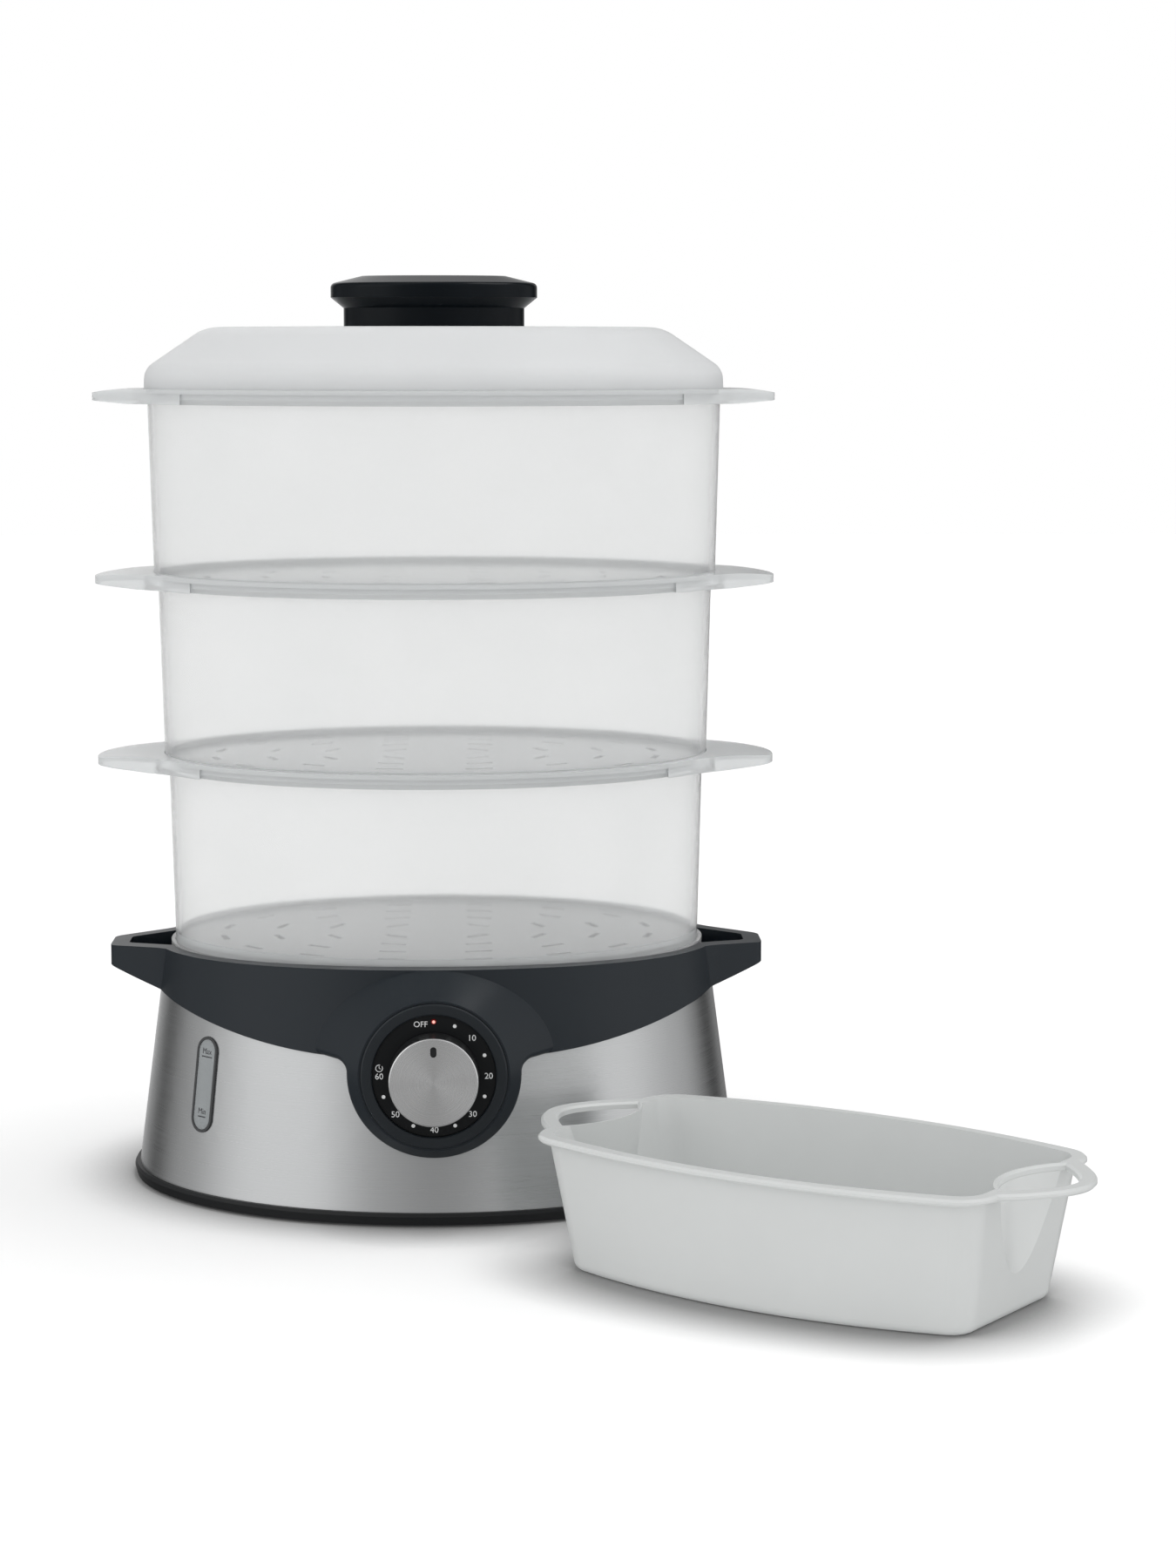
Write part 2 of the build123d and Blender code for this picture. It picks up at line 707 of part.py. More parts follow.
clamp_top_z = reservoir_floor_z - fit_gap
drum_low_z = seal_top_z - boiler_drum
with BuildPart() as heating_element:
    with BuildSketch(Plane.XY.offset(seal_top_z)):
        Circle(boiler_radius)
    extrude(amount=boiler_plate)
    with BuildSketch(Plane.XY.offset(drum_low_z)):
        Circle(boiler_drum_radius)
    extrude(amount=boiler_drum)
    with BuildSketch(Plane.XZ) as tube_section:
        with Locations((boiler_ring_radius, seal_top_z + boiler_plate)):
            Circle(boiler_tube_radius)
    revolve(tube_section.sketch, axis=Axis.Z)
    with BuildSketch(Plane.XY.offset(drum_low_z)) as tabs:
        with Locations((-boiler_ring_radius, 0), (boiler_ring_radius, 0)):
            Rectangle(tab_size[1], tab_size[0])
    extrude(tabs.sketch, amount=-tab_size[2])
    with BuildSketch(Plane.XY.offset(seal_top_z)) as studs:
        with Locations(*stud_spots):
            Circle(stud_radius)
    extrude(studs.sketch, amount=-(seal_top_z - clamp_top_z + clamp_plate + nut_height + stud_past_nut))
save(heating_element.part, "heating_element")

with BuildPart() as heater_clamp:
    with BuildSketch(Plane.XY.offset(clamp_top_z)):
        Circle(clamp_radius)
        Circle(boiler_drum_radius + clamp_gap, mode=Mode.SUBTRACT)
        with Locations(*stud_spots):
            Circle(stud_radius + fit_gap, mode=Mode.SUBTRACT)
    extrude(amount=-clamp_plate)
save(heater_clamp.part, "heater_clamp")

with BuildPart() as heater_nuts:
    with BuildSketch(Plane.XY.offset(clamp_top_z - clamp_plate)):
        with Locations(*stud_spots):
            RegularPolygon(nut_width / 2, 6, major_radius=False)
            Circle(stud_radius + pilot_gap, mode=Mode.SUBTRACT)
    extrude(amount=-nut_height)
save(heater_nuts.part, "heater_nuts")

with BuildPart() as thermostat:
    with BuildSketch(Plane.XY.offset(drum_low_z)):
        with Locations((0, thermostat_y)):
            Circle(thermostat_radius)
    extrude(amount=-thermostat_height)
    with BuildSketch(Plane.XY.offset(drum_low_z - thermostat_height)):
        with Locations((-thermostat_tab_x, thermostat_y), (thermostat_tab_x, thermostat_y)):
            Rectangle(thermostat_tab[0], thermostat_tab[1])
    extrude(amount=-thermostat_tab[2])
save(thermostat.part, "thermostat")

with BuildPart() as thermal_fuse:
    with BuildSketch(Plane.YZ.offset(-fuse_length / 2)):
        with Locations((fuse_y, drum_low_z - fuse_radius)):
            Circle(fuse_radius)
    extrude(amount=fuse_length)
    with BuildSketch(Plane.YZ.offset(-fuse_length / 2 - fuse_lead)):
        with Locations((fuse_y, drum_low_z - fuse_radius)):
            Circle(fuse_lead_radius)
    extrude(amount=fuse_length + 2 * fuse_lead)
save(thermal_fuse.part, "thermal_fuse")

# ---------------------------------------------------------------- base: timer, dial and lamp
with BuildPart() as timer_body:
    with BuildSketch(Plane.XZ.offset(-timer_face_y)) as plate:
        with Locations((0, dial_z)):
            Rectangle(timer_width, timer_height)
            with Locations((-timer_width / 2 - timer_ear / 2, 0), (timer_width / 2 + timer_ear / 2, 0)):
                Rectangle(timer_ear, timer_ear_height)
    extrude(plate.sketch, amount=-timer_plate)
    with BuildSketch(Plane.XZ.offset(-timer_back_y)) as case:
        with Locations((0, dial_z)):
            RectangleRounded(timer_width - 2 * timer_case_inset, timer_height - 2 * timer_case_inset,
                             timer_case_corner)
    extrude(case.sketch, amount=-timer_depth)
    neck_length = timer_face_y - boss_face_y - boss_recess - dial_thick - neck_gap
    with BuildSketch(Plane.XZ.offset(-timer_face_y)) as neck:
        with Locations((0, dial_z)):
            Circle(timer_neck_radius)
    extrude(neck.sketch, amount=neck_length)
    disc_y(shaft_radius + shaft_running_gap, boss_face_y,
           timer_back_y + shaft_in_timer + shaft_end_gap - boss_face_y, mode=Mode.SUBTRACT)
    with BuildSketch(Plane.XZ.offset(-timer_face_y)) as ear_holes:
        with Locations(*timer_screw_spots):
            Circle(timer_screw_radius + fit_gap)
    extrude(ear_holes.sketch, amount=-timer_plate - past, mode=Mode.SUBTRACT)
save(timer_body.part, "timer_body")

with BuildPart() as timer_screws:
    with BuildSketch(Plane.XZ.offset(-timer_back_y)) as heads:
        with Locations(*timer_screw_spots):
            Circle(timer_screw_head_radius)
    extrude(heads.sketch, amount=-timer_screw_head)
    with BuildSketch(Plane.XZ.offset(-timer_back_y)) as shanks:
        with Locations(*timer_screw_spots):
            Circle(timer_screw_radius)
    extrude(shanks.sketch, amount=timer_screw_grip)
    with BuildSketch(Plane.XZ.offset(-timer_back_y - timer_screw_head)) as drives:
        with Locations(*timer_screw_spots):
            Rectangle(screw_cross, screw_cross_width)
            Rectangle(screw_cross_width, screw_cross)
    extrude(drives.sketch, amount=screw_cross_depth, mode=Mode.SUBTRACT)
save(timer_screws.part, "timer_screws")

with BuildPart() as timer_bell:
    with BuildSketch(Plane.XZ.offset(-bell_y)) as bell_rim:
        with Locations((0, dial_z)):
            Circle(bell_radius)
    extrude(bell_rim.sketch, amount=-bell_height)
    fillet(timer_bell.faces().sort_by(Axis.Y)[-1].edges(), radius=bell_round)
    with BuildSketch(Plane.XZ.offset(-bell_y)) as bell_cup:
        with Locations((0, dial_z)):
            Circle(bell_radius - bell_wall)
            Circle(bell_boss_radius, mode=Mode.SUBTRACT)
    extrude(bell_cup.sketch, amount=-(bell_height - bell_crown), mode=Mode.SUBTRACT)
save(timer_bell.part, "timer_bell")

dial_face_y = boss_face_y + boss_recess - dial_thick
with BuildPart() as dial_bezel:
    disc_y(bezel_radius, boss_face_y - bezel_proud, boss_recess + bezel_proud)
    disc_y(bezel_inner_radius, boss_face_y - bezel_proud - past, boss_recess + bezel_proud + 2 * past,
           mode=Mode.SUBTRACT)
    fillet(dial_bezel.faces().sort_by(Axis.Y)[0].edges(), radius=bezel_round)
save(dial_bezel.part, "dial_bezel")

with BuildPart() as dial_plate:
    disc_y(dial_radius, dial_face_y, dial_thick)
    disc_y(timer_neck_radius + neck_gap, dial_face_y - past, dial_thick + 2 * past, mode=Mode.SUBTRACT)
    with BuildSketch(Plane.XZ.offset(-dial_face_y)) as lens_hole:
        with Locations((0, dial_z + lamp_out)):
            Circle(lens_radius + lens_gap)
    extrude(lens_hole.sketch, amount=-dial_thick, mode=Mode.SUBTRACT)
save(dial_plate.part, "dial_plate")

with BuildPart() as lamp_lens:
    with BuildSketch(Plane.XZ.offset(-dial_face_y)) as lens:
        with Locations((0, dial_z + lamp_out)):
            Circle(lens_radius)
    extrude(lens.sketch, amount=-(dial_thick + lens_depth))
    extrude(lens.sketch, amount=lens_proud)
    chamfer(lamp_lens.faces().sort_by(Axis.Y)[0].edges(), length=lens_bevel)
save(lamp_lens.part, "lamp_lens")

lamp_y = dial_face_y + dial_thick + lens_depth
with BuildPart() as neon_lamp:
    with BuildSketch(Plane.XZ.offset(-lamp_y)) as lamp:
        with Locations((0, dial_z + lamp_out)):
            Circle(lamp_radius)
    extrude(lamp.sketch, amount=-lamp_length)
save(neon_lamp.part, "neon_lamp")

# the knob: a moulded core under a spun aluminium skin, on the timer's shaft
knob_back_y = dial_face_y - knob_gap
knob_face_y = knob_back_y - knob_depth
with BuildPart() as timer_shaft:
    disc_y(shaft_radius, knob_face_y + knob_front_wall,
           timer_back_y + shaft_in_timer - knob_face_y - knob_front_wall)
    with BuildSketch(Plane.XZ.offset(-knob_face_y - past)) as flat:
        with Locations((0, dial_z + shaft_radius - shaft_flat)):
            Rectangle(cut_run, cut_run, align=(Align.CENTER, Align.MIN))
    extrude(flat.sketch, amount=-(knob_depth + 2 * past), mode=Mode.SUBTRACT)
save(timer_shaft.part, "timer_shaft")

with BuildPart() as knob_core:
    disc_y(knob_radius - knob_skin - knob_core_gap, knob_face_y + knob_skin, knob_depth - knob_skin)
    disc_y(knob_radius - knob_rim, knob_back_y - knob_hollow, knob_hollow + past, mode=Mode.SUBTRACT)
    disc_y(knob_hub_radius, knob_back_y - knob_hollow, knob_hub)
    disc_y(timer_neck_radius + neck_gap, knob_back_y - knob_hub_recess, knob_hub_recess + past,
           mode=Mode.SUBTRACT)
    disc_y(shaft_radius + knob_core_gap, knob_face_y + knob_front_wall - knob_core_gap, cut_run,
           mode=Mode.SUBTRACT)
save(knob_core.part, "knob_core")

with BuildPart() as knob_cap:
    disc_y(knob_radius, knob_face_y, knob_depth - knob_cap_back)
    fillet(knob_cap.faces().sort_by(Axis.Y)[0].edges(), radius=knob_round)
    disc_y(knob_radius - knob_skin, knob_face_y + knob_skin, knob_depth, mode=Mode.SUBTRACT)
    with BuildSketch(Plane.XZ.offset(-knob_face_y)) as pointer:
        with Locations((0, dial_z + pointer_out)):
            SlotOverall(pointer_length, pointer_width, rotation=90)
    extrude(pointer.sketch, amount=-knob_skin, mode=Mode.SUBTRACT)
save(knob_cap.part, "knob_cap")

# ---------------------------------------------------------------- base: window, inlet, terminals
with BuildPart() as window_seal:
    with BuildSketch(window_plane.offset(-window_proud)):
        SlotOverall(window_height, window_width, rotation=90)
        SlotOverall(window_height - 2 * window_rim, window_width - 2 * window_rim, rotation=90,
                    mode=Mode.SUBTRACT)
    extrude(amount=2 * window_proud)
save(window_seal.part, "window_seal")

inner_height = window_height - 2 * window_rim - fit_gap
inner_width = window_width - 2 * window_rim - fit_gap
pane_plane = window_plane.offset(window_proud / 2)
with BuildPart() as water_window:
    with BuildSketch(pane_plane):
        SlotOverall(inner_height, inner_width, rotation=90)
    extrude(amount=-window_depth)
    with BuildSketch(pane_plane.offset(-window_wall)):
        SlotOverall(inner_height - 2 * window_wall, inner_width - 2 * window_wall, rotation=90)
    extrude(amount=-(window_depth - 2 * window_wall), mode=Mode.SUBTRACT)
    spigot_plane = pane_plane.offset(-window_depth)
    with BuildSketch(spigot_plane):
        with Locations((0, -spigot_spread / 2), (0, spigot_spread / 2)):
            Circle(spigot_radius)
    extrude(amount=-spigot_length)
    with BuildSketch(spigot_plane.offset(window_wall)):
        with Locations((0, -spigot_spread / 2), (0, spigot_spread / 2)):
            Circle(spigot_radius - spigot_wall)
    extrude(amount=-(spigot_length + window_wall), mode=Mode.SUBTRACT)
save(water_window.part, "water_window")

with BuildPart() as cord_bush:
    with BuildSketch(Plane.XZ.offset(-inlet_y - inlet_flange)):
        with Locations((0, inlet_z)):
            Circle(inlet_flange_radius)
    extrude(amount=inlet_flange - inlet_flange_radius * tan(radians(steel_lean)))
    with BuildSketch(Plane.XZ.offset(-inlet_y - inlet_flange)):
        with Locations((0, inlet_z)):
            Circle(inlet_radius)
    extrude(amount=inlet_length)
    with BuildSketch(Plane.XZ.offset(-inlet_y - inlet_flange - past)):
        with Locations((0, inlet_z)):
            Circle(inlet_bore_radius)
    extrude(amount=inlet_length + 2 * past, mode=Mode.SUBTRACT)
save(cord_bush.part, "cord_bush")

with BuildPart() as terminal_block:
    with Locations((0, terminal_y, plate_top_z)):
        Box(*terminal_size, align=(Align.CENTER, Align.CENTER, Align.MIN))
    terminal_top_z = plate_top_z + terminal_size[2]
    with Locations(*[(pole * terminal_pitch, terminal_y, terminal_top_z) for pole in (-1, 0, 1)]):
        Cylinder(terminal_screw_radius, 2 * terminal_screw_depth, mode=Mode.SUBTRACT)
    chamfer(terminal_block.edges().filter_by(Axis.X).group_by(Axis.Z)[-1], length=terminal_bevel)
save(terminal_block.part, "terminal_block")

# ---------------------------------------------------------------- steam ring round the boiler
with BuildPart() as steam_ring:
    with BuildSketch(Plane.XY.offset(floor_top_z + fit_gap)) as ring_low:
        Circle(steam_ring_radius)
    with BuildSketch(Plane.XY.offset(floor_top_z + fit_gap + steam_ring_height)) as ring_high:
        Circle(steam_ring_top_radius)
    loft([ring_low.sketch, ring_high.sketch])
    with BuildSketch(Plane.XY.offset(floor_top_z + fit_gap)) as bore_low:
        Circle(steam_ring_radius - steam_ring_wall)
    with BuildSketch(Plane.XY.offset(floor_top_z + fit_gap + steam_ring_height)) as bore_high:
        Circle(steam_ring_top_radius - steam_ring_wall)
    loft([bore_low.sketch, bore_high.sketch], mode=Mode.SUBTRACT)
    with PolarLocations(steam_ring_radius, steam_ring_ports):
        with Locations((0, 0, floor_top_z + fit_gap)):
            Box(cut_run, steam_ring_port[0], 2 * steam_ring_port[1], mode=Mode.SUBTRACT)
save(steam_ring.part, "steam_ring")

# ---------------------------------------------------------------- drip tray
with BuildPart() as drip_tray:
    slab(oval(drip_rim_low_z, drip_rim_half_width, tray_oval), drip_rim_top_z - drip_rim_low_z)
    oval_body(drip_floor_z, drip_dish_half_width - drip_draft, drip_rim_low_z, drip_dish_half_width,
              tray_oval)
    slab(oval(tray_foot_z - tray_stand_gap, tray_foot_half_width + tray_seat_gap, tray_oval), cut_run,
         mode=Mode.SUBTRACT)
    oval_body(drip_floor_z + drip_wall, drip_dish_half_width - drip_draft - drip_wall, drip_rim_top_z,
              drip_dish_half_width - drip_wall, tray_oval, mode=Mode.SUBTRACT)
    chimney_step = chimney_half_width - chimney_half_depth
    oval_body(drip_floor_z, chimney_half_width + drip_wall, drip_floor_z + chimney_height,
              chimney_half_width + drip_wall - chimney_draft, chimney_step)
    oval_body(drip_floor_z - past, chimney_half_width, drip_floor_z + chimney_height + past,
              chimney_half_width - chimney_draft, chimney_step, mode=Mode.SUBTRACT)
save(drip_tray.part, "drip_tray")


# ---------------------------------------------------------------- steaming trays
def wing_outline(flange_half_width, inset):
    """Plan of the right lifting wing, a soft point that flows out of the rim's flange, drawn in by inset."""
    flange_half_depth = flange_half_width - tray_oval
    turn = radians(wing_root_turn)
    # the outline starts inside the flange, so that it crosses the edge and doesn't only touch it
    root = ((flange_half_width - wing_root_inset) * cos(turn),
            (flange_half_depth - wing_root_inset) * sin(turn) - inset)
    along = (flange_half_width * sin(turn), -flange_half_depth * cos(turn))
    tip = wing_tip_x - inset
    nose = (tip - wing_nose[0], wing_nose[1] - inset)
    middle = ((root[0] + nose[0]) / 2 - wing_hollow[0], (root[1] + nose[1]) / 2 - wing_hollow[1])
    with BuildSketch() as outline:
        with BuildLine():
            upper = Spline(root, middle, nose, (tip, 0), tangents=[along, (0, -1)])
            mirror(upper, about=Plane.XZ)
            Line(root, (root[0], -root[1]))
        make_face()
    return outline.sketch


def wing_section(flange_half_width, rim_z, skin):
    """Side view of a wing, lowered by skin: a drooping crest over an underside that deepens to the bead."""
    low_z = rim_z - rim_bead_drop
    top_z = rim_z - skin
    with BuildSketch(Plane.XZ) as section:
        with BuildLine():
            crest = TangentArc((flange_half_width, top_z), (wing_tip_x + past, top_z - wing_droop),
                               tangent=(1, 0))
            Polyline(crest @ 1, (wing_tip_x + past, rim_z - wing_droop - wing_tip_depth),
                     (flange_half_width, low_z), (0, low_z), (0, top_z), crest @ 0)
        make_face()
    return section.sketch


def slot_spots(half_width):
    """Places and directions of the steam slots: rows of slots along ovals inside the floor."""
    half_depth = half_width - tray_oval
    for share, count in zip(slot_rows, slots_in_row):
        for step in range(count):
            turn = 2 * pi * (step + 0.5) / count
            slope = atan2(half_depth * cos(turn), -half_width * sin(turn))
            yield Location((share * half_width * cos(turn), share * half_depth * sin(turn)), degrees(slope))


def steaming_tray(foot_z, foot_half_width):
    """One tray: tapered oval wall, slotted floor, stepped rim that seats the next piece, two wings."""
    rim_z = foot_z + tray_height
    top_half_width = foot_half_width + tray_spread
    seat = top_half_width + tray_step + tray_seat_gap
    flange = top_half_width + rim_reach
    with BuildPart(mode=Mode.PRIVATE) as tray:
        oval_body(foot_z, foot_half_width, rim_z, top_half_width, tray_oval)
        slab(oval(rim_z - rim_bead_drop, seat + rim_bead, tray_oval), rim_bead_drop)
        bead_foot = tray.faces().filter_by(Axis.Z).sort_by(Axis.Z)[1]
        chamfer(bead_foot.outer_wire().edges(), length=rim_bead_slope)
        slab(oval(rim_z - rim_flange, flange, tray_oval), rim_flange)
        with BuildPart(mode=Mode.PRIVATE) as wings:
            slab(Plane.XY.offset(rim_z - cut_run / 2) * wing_outline(flange, 0.0), cut_run)
            extrude(wing_section(flange, rim_z, 0.0), amount=far, both=True, mode=Mode.INTERSECT)
            with BuildPart(mode=Mode.PRIVATE) as under:
                slab(Plane.XY.offset(rim_z - cut_run / 2) * wing_outline(flange, rim_flange), cut_run)
                extrude(wing_section(flange, rim_z, rim_flange), amount=far, both=True, mode=Mode.INTERSECT)
                Box(2 * (seat + rim_bead - wing_root_sink), 2 * far, 4 * rim_z, mode=Mode.SUBTRACT)
            add(under.part, mode=Mode.SUBTRACT)
            mirror(about=Plane.YZ)
        add(wings.part)
        slab(oval(rim_z - tray_nest, seat, tray_oval), cut_run, mode=Mode.SUBTRACT)
        floor_low_z = foot_z + tray_floor_lift
        oval_body(floor_low_z + tray_floor, foot_half_width - tray_wall, rim_z, top_half_width - tray_wall,
                  tray_oval, mode=Mode.SUBTRACT)
        slab(oval(foot_z - past, foot_half_width - tray_wall, tray_oval), past + tray_floor_lift,
             mode=Mode.SUBTRACT)
        with BuildSketch(Plane.XY.offset(foot_z)) as slots:
            with Locations(*slot_spots(foot_half_width)):
                Rectangle(slot_length, slot_width)
        extrude(slots.sketch, amount=cut_run, mode=Mode.SUBTRACT)
    return tray.part


tray_pitch = tray_height - tray_nest
for tier, tray_name in enumerate(("tray_bottom", "tray_middle", "tray_top")):
    tier_half_width = tray_foot_half_width + tier * (tray_spread + tray_step)
    save(steaming_tray(tray_foot_z + tier * tray_pitch, tier_half_width), tray_name)

# ---------------------------------------------------------------- lid and its handle
lid_foot_z = tray_foot_z + 3 * tray_pitch
lid_half_width = tray_foot_half_width + 3 * (tray_spread + tray_step)
lid_plateau_half_width = lid_half_width - lid_crown_inset
lid_slope = atan2(lid_top_z - lid_side_top_z, lid_half_width - lid_side_draft - lid_plateau_half_width)


def lid_form(skin):
    """The lid's domed form, drawn in by skin on every side."""
    side_top = lid_side_top_z - skin * tan(pi / 4 - lid_slope / 2)
    plateau = lid_plateau_half_width - skin * tan(lid_slope / 2)
    with BuildPart(mode=Mode.PRIVATE) as form:
        oval_body(lid_foot_z, lid_half_width - skin, side_top, lid_half_width - lid_side_draft - skin,
                  tray_oval)
        oval_body(side_top, lid_half_width - lid_side_draft - skin, lid_top_z - skin, plateau, tray_oval)
        rims = form.edges().filter_by(GeomType.ELLIPSE).group_by(Axis.Z)
        fillet(rims[1], radius=lid_lower_round - skin)
        rims = form.edges().filter_by(GeomType.ELLIPSE).group_by(Axis.Z)
        fillet(rims[-1], radius=lid_upper_round - skin)
    return form.part


with BuildPart() as lid:
    add(lid_form(0.0))
    add(lid_form(lid_wall), mode=Mode.SUBTRACT)
    with BuildSketch(Plane.XY.offset(lid_top_z - cut_run / 2)) as openings:
        with Locations((-lid_vent_x, 0), (lid_vent_x, 0)):
            with GridLocations(0, lid_vent_pitch, 1, 3):
                Rectangle(lid_vent_length, lid_vent_width)
        with Locations((-grip_post_x, 0), (grip_post_x, 0)):
            Circle(screw_radius + screw_hole_gap)
    extrude(openings.sketch, amount=cut_run, mode=Mode.SUBTRACT)
save(lid.part, "lid")

grip_neck_z = lid_top_z + grip_neck_height
grip_edge_z = grip_neck_z + grip_flare
grip_dome_z = grip_edge_z + grip_edge
grip_top_z = grip_dome_z + grip_dome
with BuildPart() as lid_handle:
    neck_step = grip_neck_half_width - grip_neck_half_depth
    edge_step = grip_half_width - grip_half_depth
    slab(oval(lid_top_z, grip_neck_half_width, neck_step), grip_neck_height)
    loft([oval(grip_neck_z, grip_neck_half_width, neck_step), oval(grip_edge_z, grip_half_width, edge_step)],
         ruled=True)
    slab(oval(grip_edge_z, grip_half_width, edge_step), grip_edge)
    loft([oval(grip_dome_z, grip_half_width, edge_step),
          oval(grip_top_z, grip_half_width - grip_dome_inset, edge_step)], ruled=True)
    rounds = lid_handle.edges().filter_by(GeomType.ELLIPSE).group_by(Axis.Z)
    fillet(rounds[-2], radius=grip_round)
    slab(oval(lid_top_z - past, grip_neck_half_width - grip_wall, neck_step), grip_neck_height + grip_hollow,
         mode=Mode.SUBTRACT)
    with BuildSketch(Plane.XY.offset(lid_top_z)) as posts:
        with Locations((-grip_post_x, 0), (grip_post_x, 0)):
            Circle(grip_post_radius)
    extrude(posts.sketch, amount=grip_neck_height + grip_hollow)
    with BuildSketch(Plane.XY.offset(lid_top_z - past)) as pilots:
        with Locations((-grip_post_x, 0), (grip_post_x, 0)):
            Circle(screw_radius + pilot_gap)
    extrude(pilots.sketch, amount=screw_grip + pilot_past, mode=Mode.SUBTRACT)
save(lid_handle.part, "lid_handle")

with BuildPart() as handle_screws:
    under_z = lid_top_z - lid_wall
    with BuildSketch(Plane.XY.offset(under_z)) as heads:
        with Locations((-grip_post_x, 0), (grip_post_x, 0)):
            Circle(screw_head_radius)
    extrude(heads.sketch, amount=-screw_head)
    with BuildSketch(Plane.XY.offset(under_z)) as shanks:
        with Locations((-grip_post_x, 0), (grip_post_x, 0)):
            Circle(screw_radius)
    extrude(shanks.sketch, amount=screw_grip)
    with BuildSketch(Plane.XY.offset(under_z - screw_head)) as drives:
        with Locations((-grip_post_x, 0), (grip_post_x, 0)):
            Rectangle(screw_cross, screw_cross_width)
            Rectangle(screw_cross_width, screw_cross)
    extrude(drives.sketch, amount=screw_cross_depth, mode=Mode.SUBTRACT)
save(handle_screws.part, "handle_screws")

# ---------------------------------------------------------------- rice bowl
bowl_plane = Plane(origin=(bowl_spot[0], bowl_spot[1], 0),
                   x_dir=(cos(radians(bowl_turn)), sin(radians(bowl_turn)), 0), z_dir=(0, 0, 1))


def bowl_outline(height, inset, corner):
    """The bowl's plan at one height: straight ends and long sides that bow outwards."""
    half_length = bowl_length / 2 - inset
    half_end = bowl_end_width / 2 - inset
    half_waist = bowl_waist_width / 2 - inset
    with BuildSketch(bowl_plane.offset(height)) as outline:
        with BuildLine():
            ThreePointArc((-half_length, half_end), (0, half_waist), (half_length, half_end))
            Line((half_length, half_end), (half_length, -half_end))
            ThreePointArc((half_length, -half_end), (0, -half_waist), (-half_length, -half_end))
            Line((-half_length, -half_end), (-half_length, half_end))
        make_face()
        fillet(outline.vertices(), radius=corner)
    return outline.sketch


finger_radius = ((bowl_finger_width / 2) ** 2 + bowl_finger_depth ** 2) / (2 * bowl_finger_depth)
finger_x = bowl_length / 2 - bowl_finger_depth + finger_radius
loop_plane = bowl_plane.offset(bowl_height - bowl_lip_thick)


def end_hollows(grow):
    """Cones that press both end walls inwards under the loops, their surface moved inwards by grow."""
    low_radius = finger_radius + bowl_finger_depth - bowl_draft * (1 - bowl_finger_low_z / bowl_height)
    ends = ((bowl_finger_low_z, min(low_radius - bowl_finger_ease, finger_radius - bowl_finger_taper)),
            (bowl_height + past, finger_radius))
    with BuildPart(mode=Mode.PRIVATE) as hollows:
        sections = []
        for height, radius in ends:
            with BuildSketch(bowl_plane.offset(height)) as section:
                with Locations((finger_x, 0)):
                    Circle(radius + grow)
            sections.append(section.sketch)
        loft(sections)
        mirror(about=Plane(origin=bowl_plane.origin, z_dir=bowl_plane.x_dir))
    return hollows.part


def loop_outline(inset):
    """Plan of the right end loop: a soft point, drawn in by inset."""
    half_span = bowl_tip_span / 2 - inset
    root_x = bowl_length / 2 - bowl_grip_root
    shoulder_x, shoulder_y = half_span - bowl_grip_shoulder[0], bowl_grip_shoulder[1] - inset / 2
    with BuildSketch(loop_plane) as outline:
        with BuildLine():
            edge = Spline((root_x, bowl_grip_width / 2 - inset), (shoulder_x, shoulder_y),
                          (half_span, 0), (shoulder_x, -shoulder_y),
                          (root_x, inset - bowl_grip_width / 2))
            Line(edge @ 1, edge @ 0)
        make_face()
    return outline.sketch


with BuildPart() as finger_holes:
    slab(loop_outline(bowl_loop_width), bowl_lip_thick)
    with BuildSketch(loop_plane) as inner_arc:
        with Locations((finger_x, 0)):
            Circle(finger_radius)
    slab(inner_arc.sketch, bowl_lip_thick, mode=Mode.INTERSECT)
    mirror(about=Plane(origin=bowl_plane.origin, z_dir=bowl_plane.x_dir))

with BuildPart() as rice_bowl:
    loft([bowl_outline(0, bowl_draft, bowl_corner - bowl_corner_step),
          bowl_outline(bowl_height, 0, bowl_corner)], ruled=True)
    fillet(rice_bowl.faces().sort_by(Axis.Z)[0].outer_wire().edges(), radius=bowl_bottom_round)
    add(end_hollows(0), mode=Mode.SUBTRACT)
    slab(bowl_outline(bowl_height - bowl_lip_thick, -bowl_lip, bowl_corner + bowl_lip), bowl_lip_thick)
    with BuildPart(mode=Mode.PRIVATE) as loops:
        slab(loop_outline(0), bowl_lip_thick)
        mirror(about=Plane(origin=bowl_plane.origin, z_dir=bowl_plane.x_dir))
    add(loops.part)
    with BuildPart(mode=Mode.PRIVATE) as cavity:
        loft([bowl_outline(bowl_wall, bowl_draft + bowl_wall, bowl_corner - 2 * bowl_corner_step),
              bowl_outline(bowl_height + bowl_cavity_past, bowl_wall, bowl_corner - bowl_corner_step)],
             ruled=True)
        add(end_hollows(bowl_wall), mode=Mode.SUBTRACT)
    add(cavity.part, mode=Mode.SUBTRACT)
    add(finger_holes.part, mode=Mode.SUBTRACT)
    # the rim and its loops are bevelled above, below and round the finger holes
    rim_top = rice_bowl.faces().filter_by(Axis.Z).sort_by(Axis.Z)[-1]
    chamfer(rim_top.outer_wire().edges(), length=bowl_lip_bevel)
    rim_top = rice_bowl.faces().filter_by(Axis.Z).sort_by(Axis.Z)[-1]
    for hole in rim_top.inner_wires().sort_by(SortBy.LENGTH)[:2]:
        chamfer(hole.edges(), length=bowl_lip_bevel)
    rim_under = rice_bowl.faces().filter_by(Axis.Z).filter_by_position(Axis.Z, loop_plane.origin.Z - fit_gap,
                                                                       loop_plane.origin.Z + fit_gap)
    chamfer(rim_under.sort_by(SortBy.AREA)[-1].outer_wire().edges(), length=bowl_lip_bevel)
